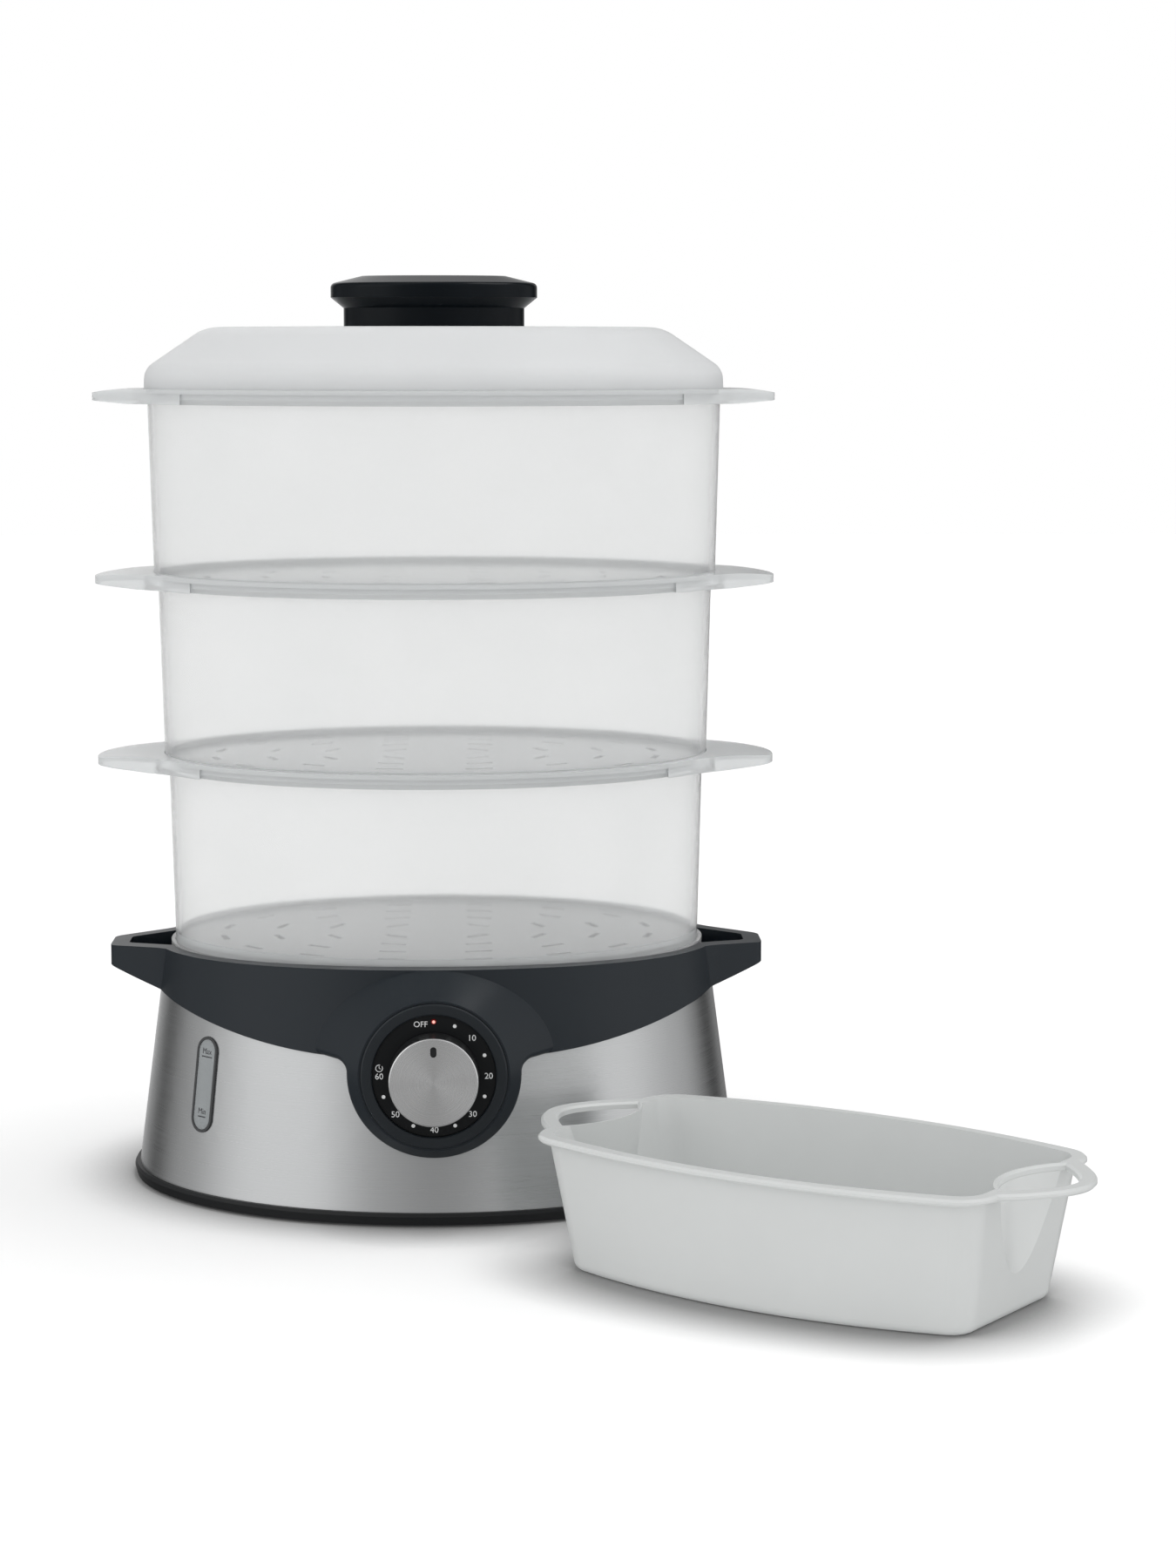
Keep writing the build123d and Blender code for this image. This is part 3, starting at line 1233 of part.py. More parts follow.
save(rice_bowl.part, "rice_bowl")
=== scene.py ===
"""Electric food steamer: finishes, printed marks and studio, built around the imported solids."""
from math import cos, pi, radians, sin, tan

import bmesh
import bpy
from bpy.props import FloatProperty, FloatVectorProperty, PointerProperty
from mathutils import Matrix, Vector


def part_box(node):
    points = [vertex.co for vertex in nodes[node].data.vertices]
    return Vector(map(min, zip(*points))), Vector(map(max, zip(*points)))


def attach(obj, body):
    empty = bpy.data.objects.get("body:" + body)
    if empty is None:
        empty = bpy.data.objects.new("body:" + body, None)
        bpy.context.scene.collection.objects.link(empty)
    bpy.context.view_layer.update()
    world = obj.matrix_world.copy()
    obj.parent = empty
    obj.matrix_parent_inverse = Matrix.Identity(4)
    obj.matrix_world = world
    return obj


bl_info = {
    "name": "Food steamer",
    "version": (1, 0, 0),
    "blender": (4, 5, 0),
    "location": "View3D > Sidebar > Steamer",
    "description": "Finishes, printed marks and studio for a three tier electric food steamer",
    "category": "Object",
}

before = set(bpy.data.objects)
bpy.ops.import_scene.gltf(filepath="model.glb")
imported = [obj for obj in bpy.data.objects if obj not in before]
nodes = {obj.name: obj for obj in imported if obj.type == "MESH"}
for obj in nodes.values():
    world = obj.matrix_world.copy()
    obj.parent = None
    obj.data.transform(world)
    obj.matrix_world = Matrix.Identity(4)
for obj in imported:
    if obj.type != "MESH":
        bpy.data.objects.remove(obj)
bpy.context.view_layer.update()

MM = 0.001
WHITE = (1.0, 1.0, 1.0, 1.0)
DIAL_AXIS_Z = 71.5 * MM
TRAYS = ("tray_bottom", "tray_middle", "tray_top")

# the water window's place on the shell: direction from the middle, half-width and slope of the shell there
WINDOW_TURN = radians(218.9)
SHELL_HALF_WIDTH = 138.8 * MM
SHELL_OVAL = 22.5 * MM
SHELL_LEAN = radians(7.5)

# how far behind its foremost point the window's flat front may lie
WINDOW_SLACK = 0.2 * MM

# the level marks, in millimetres: word, how far over the window's middle it and its line stand, half the line
LEVEL_MARKS = (("Max", 15.6, 13.0, 3.6), ("Min", -12.6, -15.2, 2.6))

# the timer's scale, and the minutes that carry a figure and a dot
DEGREES_A_MINUTE = 4.5
FIGURE_MINUTES = range(10, 61, 10)
DOT_MINUTES = range(5, 56, 10)

# the word OFF: where it stands, from the dial's axis, and its height as a share of a figure's
OFF_PLACE = (-5.9 * MM, 23.9 * MM)
OFF_SHARE = 0.95

# the clock sign: height over the dial's axis, radius, line, where its open ring starts and how far it runs,
# the direction and length of its hands, and their breadth
CLOCK_RISE = 3.7 * MM
CLOCK_RADIUS = 1.55 * MM
CLOCK_LINE = 0.32 * MM
CLOCK_START = radians(75)
CLOCK_SWEEP = radians(325)
CLOCK_HANDS = ((radians(90), 1.05 * MM), (radians(-20), 0.8 * MM))
CLOCK_HAND_LINE = 0.26 * MM

# the height of a capital letter as a share of the typeface's size
CAPITAL_SHARE = 0.69

# the part of the knob's edge that is still metal, and the radius of the lamp's bright core
KNOB_EDGE = 0.12 * MM
LAMP_CORE = 0.65 * MM

# how clear the trays' walls and their rims are, how deep the rims reach, and how far their denser look fades
TRAY_CLEARNESS = 0.80
RIM_CLEARNESS = 0.45
RIM_DEPTH = 7.0 * MM
RIM_MARGIN = 0.3 * MM

# colours of the screws and of the parts inside the base
ZINC = (0.42, 0.43, 0.44)
CAST_METAL = (0.50, 0.50, 0.50)
PLATED_STEEL = (0.50, 0.50, 0.51)
BELL_METAL = (0.66, 0.66, 0.66)
SILICONE = (0.34, 0.05, 0.03)
THERMOSTAT_BLACK = (0.035, 0.035, 0.035)
NYLON = (0.62, 0.62, 0.58)
NEON_GLASS = (0.6, 0.35, 0.2)

# the ink of the level marks, and its darkest and lightest tints
LEVEL_INK = (0.02, 0.02, 0.025)
LEVEL_INK_TINTS = ((0.015, 0.015, 0.018), (0.03, 0.03, 0.034))

# the floor: half its side, its white and how far that varies
FLOOR_REACH = 6.0
FLOOR_WHITE = 0.96
FLOOR_UNEVEN = 0.005

# the object's contact shadow: how far it reaches over the floor, how bright it leaves it, and the shares of open
# sky at which it is full and gone
CONTACT_REACH = 52 * MM
CONTACT_SHADE = 0.30
CONTACT_FADE = (0.5, 0.97)

# how bright the surround is in a mirror, by degrees from the front towards the right
SURROUND_ZONES = ((-180, 0.60), (-168, 0.90), (-152, 0.40), (-133, 0.10), (-106, 0.46), (-66, 1.0),
                  (-42, 0.98), (-18, 0.50), (0, 0.38), (34, 0.66), (68, 0.97), (104, 0.60), (138, 0.05),
                  (160, 0.30), (172, 0.25), (180, 0.60))

# how bright the ground is in a mirror, and between which Z of the mirrored direction it fades into the surround
GROUND_SHADE = 0.35
GROUND_FADE = (-0.24, -0.14)

# the studio's lamps: place, the point that each is aimed at, and size
KEY_LAMP = ((0.9, 0.1, 2.2), (0.0, 0.0, 0.1), (1.1, 0.9))
FILL_LAMP = ((-1.5, -1.0, 1.1), (0.0, 0.0, 0.2), (1.2, 1.4))

# the height of the camera's frame, in millimetres
SENSOR_HEIGHT = 36.0


# ---------------------------------------------------------------- values a user may change
def colour(name, description, default):
    """A linear colour property."""
    return FloatVectorProperty(name=name, description=description, subtype="COLOR", size=3, min=0.0, max=1.0,
                               default=default)


def length(name, description, default):
    """A length property in metres, given in millimetres."""
    return FloatProperty(name=name, description=description, subtype="DISTANCE", unit="LENGTH", min=0.0,
                         precision=5, default=default * MM)


def amount(name, description, default, top=1.0):
    """A plain number property."""
    return FloatProperty(name=name, description=description, min=0.0, max=top, default=default)


class SteamerColours(bpy.types.PropertyGroup):
    """Colours of the steamer's plastics, metals and marks."""

    steel: colour("Steel", "Brushed steel of the shell", (0.62, 0.63, 0.635))
    cover: colour("Cover", "Satin plastic of the cover and handles", (0.0095, 0.0145, 0.0200))
    bezel: colour("Bezel", "Satin ring round the dial", (0.015, 0.019, 0.023))
    dial: colour("Dial", "Black plate behind the dial's marks", (0.006, 0.007, 0.008))
    base: colour("Base", "Plastic of the foot ring and inner base", (0.010, 0.011, 0.012))
    gloss: colour("Gloss black", "Lid handle", (0.003, 0.005, 0.007))
    tray: colour("Tray", "Clear trays with a white veil", (0.985, 0.99, 0.99))
    rim: colour("Tray rim", "Denser plastic of the trays' rims, wings and floors", (0.80, 0.815, 0.82))
    lid: colour("Lid", "Frosted lid", (0.85, 0.86, 0.865))
    bowl: colour("Rice bowl", "White rice bowl", (0.655, 0.67, 0.665))
    knob: colour("Knob face", "Spun metal of the knob", (0.95, 0.955, 0.96))
    marks: colour("Marks", "Printed marks of the dial", (0.84, 0.85, 0.85))
    lamp: colour("Lamp lens", "Red of the lens round the lamp", (0.16, 0.006, 0.005))
    glow: colour("Lamp", "Light of the lamp", (1.0, 0.42, 0.36))
    rubber: colour("Rubber", "Feet and cord bush", (0.018, 0.018, 0.018))
    pane: colour("Window pane", "Grey pane of the water window", (0.41, 0.435, 0.445))
    seal: colour("Window seal", "Dark grey seal round the water window", (0.050, 0.052, 0.054))


class SteamerMarks(bpy.types.PropertyGroup):
    """Sizes of the printed marks."""

    circle: length("Mark circle", "Radius on which the dial's marks stand", 24.8)
    figure_height: length("Figure height", "Height of the dial's figures", 2.7)
    dot: length("Dot radius", "Radius of the dots between the figures", 0.85)
    level_height: length("Level text height", "Height of the words over the level lines", 2.6)
    level_line: length("Level line", "Thickness of the level lines", 0.48)
    ink: length("Ink", "Thickness of the printed marks", 0.05)


class SteamerStudio(bpy.types.PropertyGroup):
    """Camera and light."""

    eye: FloatVectorProperty(name="Eye", description="Where the camera stands", subtype="TRANSLATION",
                             unit="LENGTH", size=3, default=(0.024, -1.700, 0.3975))
    pitch: FloatProperty(name="Pitch", description="How far the camera looks down", subtype="ANGLE",
                         unit="ROTATION", default=radians(7.0))
    yaw: FloatProperty(name="Yaw", description="How far the camera looks to the right", subtype="ANGLE",
                       unit="ROTATION", default=radians(1.67))
    focal: FloatProperty(name="Focal length", description="On a frame 36 mm high", subtype="DISTANCE_CAMERA",
                         unit="CAMERA", default=80.96)
    surround: amount("Surround", "Strength of the light from all round", 0.96, 10.0)
    key: amount("Key lamp", "Power of the large lamp over the back right, in watts", 6.0, 500.0)
    fill: amount("Fill lamp", "Power of the lamp at the left, in watts", 1.5, 500.0)
    floor_lift: amount("Floor lift", "How much of the floor's white is seen without any lamp", 0.10)


# ---------------------------------------------------------------- node helpers
class Graph:
    """A node tree under construction."""

    def __init__(self, tree):
        self.tree = tree
        self.column = -300

    def add(self, kind, **settings):
        """A new node with its settings."""
        self.column -= 40
        item = self.tree.nodes.new(kind)
        item.location = (self.column, self.column)
        for key, value in settings.items():
            setattr(item, key, value)
        return item

    def link(self, source, target):
        """Joins an output to an input."""
        self.tree.links.new(source, target)

    def feed(self, targets, values):
        """Gives each input in turn an output to be joined to, or a plain value."""
        for target, value in zip(targets, values):
            if isinstance(value, bpy.types.NodeSocket):
                self.link(value, target)
            else:
                target.default_value = value

    def maths(self, operation, *values):
        """What a sum of outputs and plain numbers comes to."""
        step = self.add("ShaderNodeMath", operation=operation)
        self.feed(step.inputs, values)
        return step.outputs["Value"]

    def vectors(self, operation, *values):
        """What a sum of vectors comes to."""
        step = self.add("ShaderNodeVectorMath", operation=operation)
        self.feed(step.inputs, values)
        return step.outputs["Value" if operation == "LENGTH" else "Vector"]

    def scaled(self, vector, share):
        """A vector or colour times a number."""
        step = self.add("ShaderNodeVectorMath", operation="SCALE")
        self.feed((step.inputs[0], step.inputs["Scale"]), (vector, share))
        return step.outputs["Vector"]

    def split(self, vector):
        """The X, Y and Z of a vector, by name."""
        apart = self.add("ShaderNodeSeparateXYZ")
        self.link(vector, apart.inputs["Vector"])
        return apart.outputs

    def spread(self, source, low, high, from_low=0.3, from_high=0.7):
        """Turns one range of a value into another, held at both ends. By default the first is a noise's."""
        ranged = self.add("ShaderNodeMapRange")
        ranged.inputs["From Min"].default_value = from_low
        ranged.inputs["From Max"].default_value = from_high
        ranged.inputs["To Min"].default_value = low
        ranged.inputs["To Max"].default_value = high
        self.link(source, ranged.inputs["Value"])
        return ranged.outputs["Result"]

    def pick(self, share, otherwise, chosen):
        """The chosen shader where the share is 1, and the other where it is 0."""
        mix = self.add("ShaderNodeMixShader")
        self.feed(mix.inputs, (share, otherwise, chosen))
        return mix.outputs["Shader"]


class Finish(Graph):
    """A material under construction: a principled shader and what feeds it."""

    def __init__(self, name, base, roughness, metallic=0.0, **sockets):
        self.material = bpy.data.materials.new(name)
        self.material.use_nodes = True
        super().__init__(self.material.node_tree)
        self.shader = next(n for n in self.tree.nodes if n.type == "BSDF_PRINCIPLED")
        self.output = next(n for n in self.tree.nodes if n.type == "OUTPUT_MATERIAL")
        self.put("Base Color", (*base, 1.0))
        self.put("Roughness", roughness)
        self.put("Metallic", metallic)
        for socket, value in sockets.items():
            self.put(socket.replace("_", " "), value)

    def put(self, socket, value):
        """Gives the shader's socket a plain value."""
        self.shader.inputs[socket].default_value = value

    def drive(self, socket, source):
        """Joins an output to the shader's socket."""
        self.link(source, self.shader.inputs[socket])

    def paint(self):
        """What the shader's colour comes from at present."""
        return self.shader.inputs["Base Color"].links[0].from_socket

    def where(self):
        """The place on the piece, in metres."""
        return self.add("ShaderNodeTexCoord").outputs["Object"]

    def noise(self, scale, stretch=(1.0, 1.0, 1.0), detail=3.0, roughness=0.55):
        """Cloudy noise from 0 to 1, over the piece's own coordinates, stretched."""
        mapping = self.add("ShaderNodeMapping")
        mapping.inputs["Scale"].default_value = stretch
        self.link(self.where(), mapping.inputs["Vector"])
        grain = self.add("ShaderNodeTexNoise")
        grain.inputs["Scale"].default_value = scale
        grain.inputs["Detail"].default_value = detail
        grain.inputs["Roughness"].default_value = roughness
        self.link(mapping.outputs["Vector"], grain.inputs["Vector"])
        return grain.outputs["Fac"]

    def tint(self, source, dark, light):
        """Colours between two tints, by a noise."""
        ramp = self.add("ShaderNodeValToRGB")
        ramp.color_ramp.elements[0].position = 0.3
        ramp.color_ramp.elements[1].position = 0.7
        ramp.color_ramp.elements[0].color = (*dark, 1.0)
        ramp.color_ramp.elements[1].color = (*light, 1.0)
        self.link(source, ramp.inputs["Fac"])
        self.drive("Base Color", ramp.outputs["Color"])

    def bump(self, source, height, strength):
        """Raises the surface by a noise, the height in metres."""
        relief = self.add("ShaderNodeBump")
        relief.inputs["Distance"].default_value = height
        relief.inputs["Strength"].default_value = strength
        self.link(source, relief.inputs["Height"])
        self.drive("Normal", relief.outputs["Normal"])

    def over(self, share, coat):
        """Lays a colour over the present one where the share is 1."""
        mix = self.add("ShaderNodeMix", data_type="RGBA")
        under, above = [item for item in mix.inputs if item.type == "RGBA"]
        self.link(self.paint(), under)
        above.default_value = (*coat, 1.0)
        self.link(share, mix.inputs["Factor"])
        self.drive("Base Color", next(item for item in mix.outputs if item.type == "RGBA"))


def shades(base, spread):
    """A darker and a lighter tint of one colour."""
    return tuple(c * (1 - spread) for c in base), tuple(min(1.0, c * (1 + spread)) for c in base)


def moulded(name, base, roughness, grain=900.0, relief=0.02 * MM, uneven=0.06, **sockets):
    """Moulded plastic: a fine even texture, and a sheen that varies a little."""
    finish = Finish(name, base, roughness, **sockets)
    clouds = finish.noise(35.0)
    finish.tint(clouds, *shades(base, uneven * 0.5))
    finish.drive("Roughness", finish.spread(clouds, roughness * (1 - uneven), roughness * (1 + uneven)))
    finish.bump(finish.noise(grain, detail=2.0), relief, strength=0.35)
    return finish.material


def metal(name, base, roughness, grain=600.0):
    """Plated or bare metal parts inside the base."""
    finish = Finish(name, base, roughness, metallic=1.0)
    clouds = finish.noise(90.0)
    finish.tint(clouds, *shades(base, 0.10))
    finish.drive("Roughness", finish.spread(clouds, roughness * 0.8, roughness * 1.25))
    finish.bump(finish.noise(grain), 0.01 * MM, strength=0.3)
    return finish.material


def brushed_steel(base):
    """Steel sheet brushed round the body."""
    finish = Finish("brushed_steel_sheet", base, 0.3, metallic=1.0, Anisotropic=0.6, Anisotropic_Rotation=0.25)
    lines = finish.noise(1.0, stretch=(9.0, 9.0, 2600.0), detail=4.0, roughness=0.7)
    finish.tint(lines, *shades(base, 0.055))
    finish.drive("Roughness", finish.spread(lines, 0.25, 0.37))
    finish.bump(lines, 0.006 * MM, strength=0.2)
    finish.drive("Tangent", finish.add("ShaderNodeTangent", direction_type="RADIAL", axis="Z").outputs["Tangent"])
    return finish.material


def spun_face(base, side_colour, front_y):
    """Metal turned on a lathe, its rings round the dial's axis, with a side of another colour."""
    finish = Finish("spun_knob_face", base, 0.28, metallic=1.0, Anisotropic=0.85, Anisotropic_Rotation=0.25)
    place = finish.split(finish.where())
    outward = finish.add("ShaderNodeCombineXYZ")
    finish.link(place["X"], outward.inputs["X"])
    finish.link(finish.maths("SUBTRACT", place["Z"], DIAL_AXIS_Z), outward.inputs["Z"])
    rings = finish.add("ShaderNodeTexNoise", noise_dimensions="1D")
    rings.inputs["Scale"].default_value = 5200.0
    rings.inputs["Detail"].default_value = 3.0
    finish.link(finish.vectors("LENGTH", outward.outputs["Vector"]), rings.inputs["W"])
    finish.tint(rings.outputs["Fac"], *shades(base, 0.05))
    finish.drive("Roughness", finish.spread(rings.outputs["Fac"], 0.22, 0.36))
    # grooves run round the dial's axis: the tangent is the axis crossed with the way out from it
    around = finish.vectors("CROSS_PRODUCT", (0.0, 1.0, 0.0), outward.outputs["Vector"])
    finish.drive("Tangent", finish.vectors("NORMALIZE", around))
    # the side colour starts just behind the front edge
    side = finish.spread(place["Y"], 0.0, 1.0, front_y + KNOB_EDGE, front_y + 2 * KNOB_EDGE)
    finish.over(side, side_colour)
    finish.drive("Metallic", finish.spread(side, 1.0, 0.0, 0.0, 1.0))
    return finish.material


def lit_lens(base, glow):
    """A red lens with a small bright core where the lamp stands behind it."""
    finish = Finish("lit_lens", base, 0.2)
    finish.tint(finish.noise(700.0), *shades(base, 0.1))
    low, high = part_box("lamp_lens")
    away = finish.vectors("SUBTRACT", finish.where(), [(a + b) / 2 for a, b in zip(low, high)])
    flat = finish.vectors("MULTIPLY", away, (1.0, 0.0, 1.0))
    core = finish.spread(finish.vectors("LENGTH", flat), 1.0, 0.0, LAMP_CORE * 0.5, LAMP_CORE * 1.4)
    finish.over(core, glow)
    finish.put("Emission Color", (*glow, 1.0))
    finish.drive("Emission Strength", core)
    return finish.material


def veiled(name, base, see_through, roughness):
    """Thin clear plastic with a white veil. Its low IOR stands for a wall too thin to bend the light."""
    finish = Finish(name, base, roughness, IOR=1.15, Transmission_Weight=see_through)
    veil = finish.noise(14.0, detail=2.0)
    finish.tint(veil, *shades(base, 0.012))
    finish.drive("Roughness", finish.spread(veil, roughness * 0.92, roughness * 1.08))
    return finish


def dense_rims(finish, rim_colour, see_through, rim_see_through):
    """Makes the trays' rims and wings greyer and less clear than their walls.

    The band repeats from tray to tray. It takes in their floors too, which lie at the height of the rim below.
    """
    first_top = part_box(TRAYS[0])[1][2]
    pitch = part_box(TRAYS[1])[1][2] - first_top
    height = finish.split(finish.where())["Z"]
    tiers = finish.maths("DIVIDE", finish.maths("SUBTRACT", height, first_top + RIM_MARGIN), pitch)
    foot = 1.0 - RIM_DEPTH / pitch
    band = finish.spread(finish.maths("FRACT", tiers), 0.0, 1.0, foot - RIM_MARGIN / pitch, foot)
    finish.drive("Transmission Weight", finish.spread(band, see_through, rim_see_through, 0.0, 1.0))
    finish.over(band, rim_colour)


def dress(material, *names):
    """Puts a finish in every slot of the named CAD nodes."""
    for name in names:
        for item in nodes[name].material_slots:
            item.material = material


# ---------------------------------------------------------------- mesh helpers
def piece(name, mesh, material, body):
    """A piece of the object's own, riding on a body."""
    thing = bpy.data.objects.new(name, mesh)
    bpy.context.scene.collection.objects.link(thing)
    mesh.materials.clear()
    mesh.materials.append(material)
    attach(thing, body)


def words(text, height, depth):
    """A flat word as a mesh in the XY plane, centred on the origin, its capitals as high as asked."""
    curve = bpy.data.curves.new("word", "FONT")
    curve.body = text
    curve.align_x = "CENTER"
    curve.align_y = "CENTER"
    curve.resolution_u = 4
    curve.size = height / CAPITAL_SHARE
    curve.extrude = depth / 2
    maker = bpy.data.objects.new("word", curve)
    bpy.context.scene.collection.objects.link(maker)
    bpy.context.view_layer.update()
    mesh = bpy.data.meshes.new_from_object(maker.evaluated_get(bpy.context.evaluated_depsgraph_get()))
    bpy.data.objects.remove(maker)
    bpy.data.curves.remove(curve)
    xs = [v.co.x for v in mesh.vertices]
    ys = [v.co.y for v in mesh.vertices]
    mesh.transform(Matrix.Translation((-(min(xs) + max(xs)) / 2, -(min(ys) + max(ys)) / 2, 0)))
    return mesh


def plate(outline, depth):
    """A thin plate with the given outline in the XY plane."""
    shape = bmesh.new()
    face = shape.faces.new([shape.verts.new((x, y, -depth / 2)) for x, y in outline])
    raised = bmesh.ops.extrude_face_region(shape, geom=[face])
    bmesh.ops.translate(shape, vec=(0, 0, depth),
                        verts=[v for v in raised["geom"] if isinstance(v, bmesh.types.BMVert)])
    bmesh.ops.recalc_face_normals(shape, faces=shape.faces)
    mesh = bpy.data.meshes.new("plate")
    shape.to_mesh(mesh)
    shape.free()
    return mesh


def disc(radius, depth, corners=28):
    """A thin round plate."""
    return plate([(radius * cos(2 * pi * k / corners), radius * sin(2 * pi * k / corners))
                  for k in range(corners)], depth)


def strip(start, end, line, depth):
    """A thin straight bar along X."""
    half = line / 2
    return plate([(start, -half), (end, -half), (end, half), (start, half)], depth)


def ring_mark(radius, line, depth, start, sweep, corners=36):
    """A thin open ring."""
    angles = [start + sweep * k / corners for k in range(corners + 1)]
    outer = [((radius + line / 2) * cos(a), (radius + line / 2) * sin(a)) for a in angles]
    inner = [((radius - line / 2) * cos(a), (radius - line / 2) * sin(a)) for a in reversed(angles)]
    return plate(outer + inner, depth)


def gather(name, parts):
    """Joins placed meshes into one."""
    whole = bmesh.new()
    for mesh, move in parts:
        mesh.transform(move)
        whole.from_mesh(mesh)
        bpy.data.meshes.remove(mesh)
    joined = bpy.data.meshes.new(name)
    whole.to_mesh(joined)
    whole.free()
    return joined


# ---------------------------------------------------------------- operators
class STEAMER_OT_stage(bpy.types.Operator):
    """Floor, backdrop, lamps and camera"""

    bl_idname = "steamer.stage"
    bl_label = "Stage"

    def execute(self, context):
        studio = context.scene.steamer_studio
        scene = context.scene
        scene.view_settings.view_transform = "Standard"
        self.floor(studio)
        self.surround(scene, studio)
        self.lamp("key_lamp", studio.key, *KEY_LAMP)
        self.lamp("fill_lamp", studio.fill, *FILL_LAMP)
        eye = bpy.data.objects.new("camera", bpy.data.cameras.new("camera"))
        eye.data.sensor_fit = "VERTICAL"
        eye.data.sensor_height = SENSOR_HEIGHT
        eye.data.lens = studio.focal
        eye.location = studio.eye
        eye.rotation_euler = (pi / 2 - studio.pitch, 0.0, -studio.yaw)
        scene.collection.objects.link(eye)
        scene.camera = eye
        return {"FINISHED"}

    def floor(self, studio):
        """A pale floor that keeps the object's shadow and runs into white."""
        shape = bmesh.new()
        bmesh.ops.create_grid(shape, x_segments=2, y_segments=2, size=FLOOR_REACH)
        mesh = bpy.data.meshes.new("floor")
        shape.to_mesh(mesh)
        shape.free()
        sheet = bpy.data.objects.new("floor", mesh)
        bpy.context.scene.collection.objects.link(sheet)
        finish = Finish("pale_floor", (FLOOR_WHITE,) * 3, 0.6, Specular_IOR_Level=0.0)
        finish.tint(finish.noise(3.0), (FLOOR_WHITE - FLOOR_UNEVEN,) * 3, (FLOOR_WHITE + FLOOR_UNEVEN,) * 3)
        rays = finish.add("ShaderNodeLightPath").outputs
        open_sky = finish.add("ShaderNodeAmbientOcclusion", samples=16)
        open_sky.inputs["Distance"].default_value = CONTACT_REACH
        # the shade is only seen: the light that the floor sends back stays as it is
        unseen = finish.maths("SUBTRACT", 1.0, rays["Is Camera Ray"])
        contact = finish.maths("MAXIMUM", finish.spread(open_sky.outputs["AO"], CONTACT_SHADE, 1.0, *CONTACT_FADE),
                               unseen)
        finish.drive("Base Color", finish.scaled(finish.paint(), contact))
        # a part of its white is there without any lamp, for the eye and in mirrors and clear plastic
        seen = finish.maths("MAXIMUM", rays["Is Camera Ray"], rays["Is Glossy Ray"])
        seen = finish.maths("MAXIMUM", seen, rays["Is Transmission Ray"])
        glow = finish.add("ShaderNodeEmission")
        finish.link(finish.maths("MULTIPLY", finish.maths("MULTIPLY", seen, studio.floor_lift), contact),
                    glow.inputs["Strength"])
        total = finish.add("ShaderNodeAddShader")
        finish.feed(total.inputs, (finish.shader.outputs["BSDF"], glow.outputs["Emission"]))
        finish.link(total.outputs["Shader"], finish.output.inputs["Surface"])
        mesh.materials.append(finish.material)
        # metal mirrors the surround alone, below the horizon too
        sheet.visible_glossy = False

    def surround(self, scene, studio):
        """Even light from all round, seen as white, with soft dark zones for the metal to mirror."""
        world = bpy.data.worlds.new("studio_surround")
        world.use_nodes = True
        scene.world = world
        world.node_tree.nodes.clear()
        sky = Graph(world.node_tree)
        way = sky.split(sky.add("ShaderNodeTexCoord").outputs["Generated"])
        turn = sky.maths("ARCTAN2", way["X"], sky.maths("MULTIPLY", way["Y"], -1.0))
        zones = sky.add("ShaderNodeValToRGB")
        zones.color_ramp.interpolation = "EASE"
        ramp = zones.color_ramp.elements
        while len(ramp) > 1:
            ramp.remove(ramp[-1])
        for k, (angle, level) in enumerate(SURROUND_ZONES):
            stop = ramp[0] if k == 0 else ramp.new((angle + 180) / 360)
            stop.position = (angle + 180) / 360
            stop.color = (level, level, level, 1.0)
        sky.link(sky.spread(turn, 0.0, 1.0, -pi, pi), zones.inputs["Fac"])
        # what faces the ground mirrors it darker
        ground = sky.spread(way["Z"], GROUND_SHADE, 1.0, *GROUND_FADE)
        mirrored = self.background(sky, zones.outputs["Color"], ground)
        even = self.background(sky, WHITE, studio.surround)
        white = self.background(sky, WHITE, 1.0)
        rays = sky.add("ShaderNodeLightPath").outputs
        lit = sky.pick(rays["Is Glossy Ray"], even, mirrored)
        seen = sky.maths("MAXIMUM", rays["Is Camera Ray"], rays["Is Transmission Ray"])
        output = sky.add("ShaderNodeOutputWorld")
        sky.link(sky.pick(seen, lit, white), output.inputs["Surface"])

    def background(self, sky, shade, strength):
        """One way in which the surround shows."""
        whole = sky.add("ShaderNodeBackground")
        sky.feed((whole.inputs["Color"], whole.inputs["Strength"]), (shade, strength))
        return whole.outputs["Background"]

    def lamp(self, name, power, place, aim, size):
        """A soft rectangular lamp, aimed at a point."""
        light = bpy.data.lights.new(name, "AREA")
        light.shape = "RECTANGLE"
        light.size, light.size_y = size
        light.energy = power
        holder = bpy.data.objects.new(name, light)
        holder.location = place
        holder.rotation_euler = (Vector(aim) - Vector(place)).to_track_quat("-Z", "Y").to_euler()
        bpy.context.scene.collection.objects.link(holder)


class STEAMER_OT_base(bpy.types.Operator):
    """Foot ring, bottom, feet, steel shell and cover"""

    bl_idname = "steamer.base"
    bl_label = "Base"

    def execute(self, context):
        colours = context.scene.steamer_colours
        dress(moulded("base_plastic", colours.base, roughness=0.45, Specular_IOR_Level=0.3),
              "foot_ring", "bottom_cover", "reservoir")
        dress(moulded("cover_plastic", colours.cover, roughness=0.36, relief=0.012 * MM, Specular_IOR_Level=0.36),
              "top_cover")
        dress(brushed_steel(colours.steel), "steel_shell")
        dress(moulded("rubber_parts", colours.rubber, roughness=0.75, grain=500.0, relief=0.04 * MM),
              "rubber_feet", "cord_bush")
        dress(moulded("seal_rubber", colours.seal, roughness=0.6, grain=500.0), "window_seal")
        dress(metal("zinc_screws", ZINC, roughness=0.3), "bottom_screws")
        return {"FINISHED"}


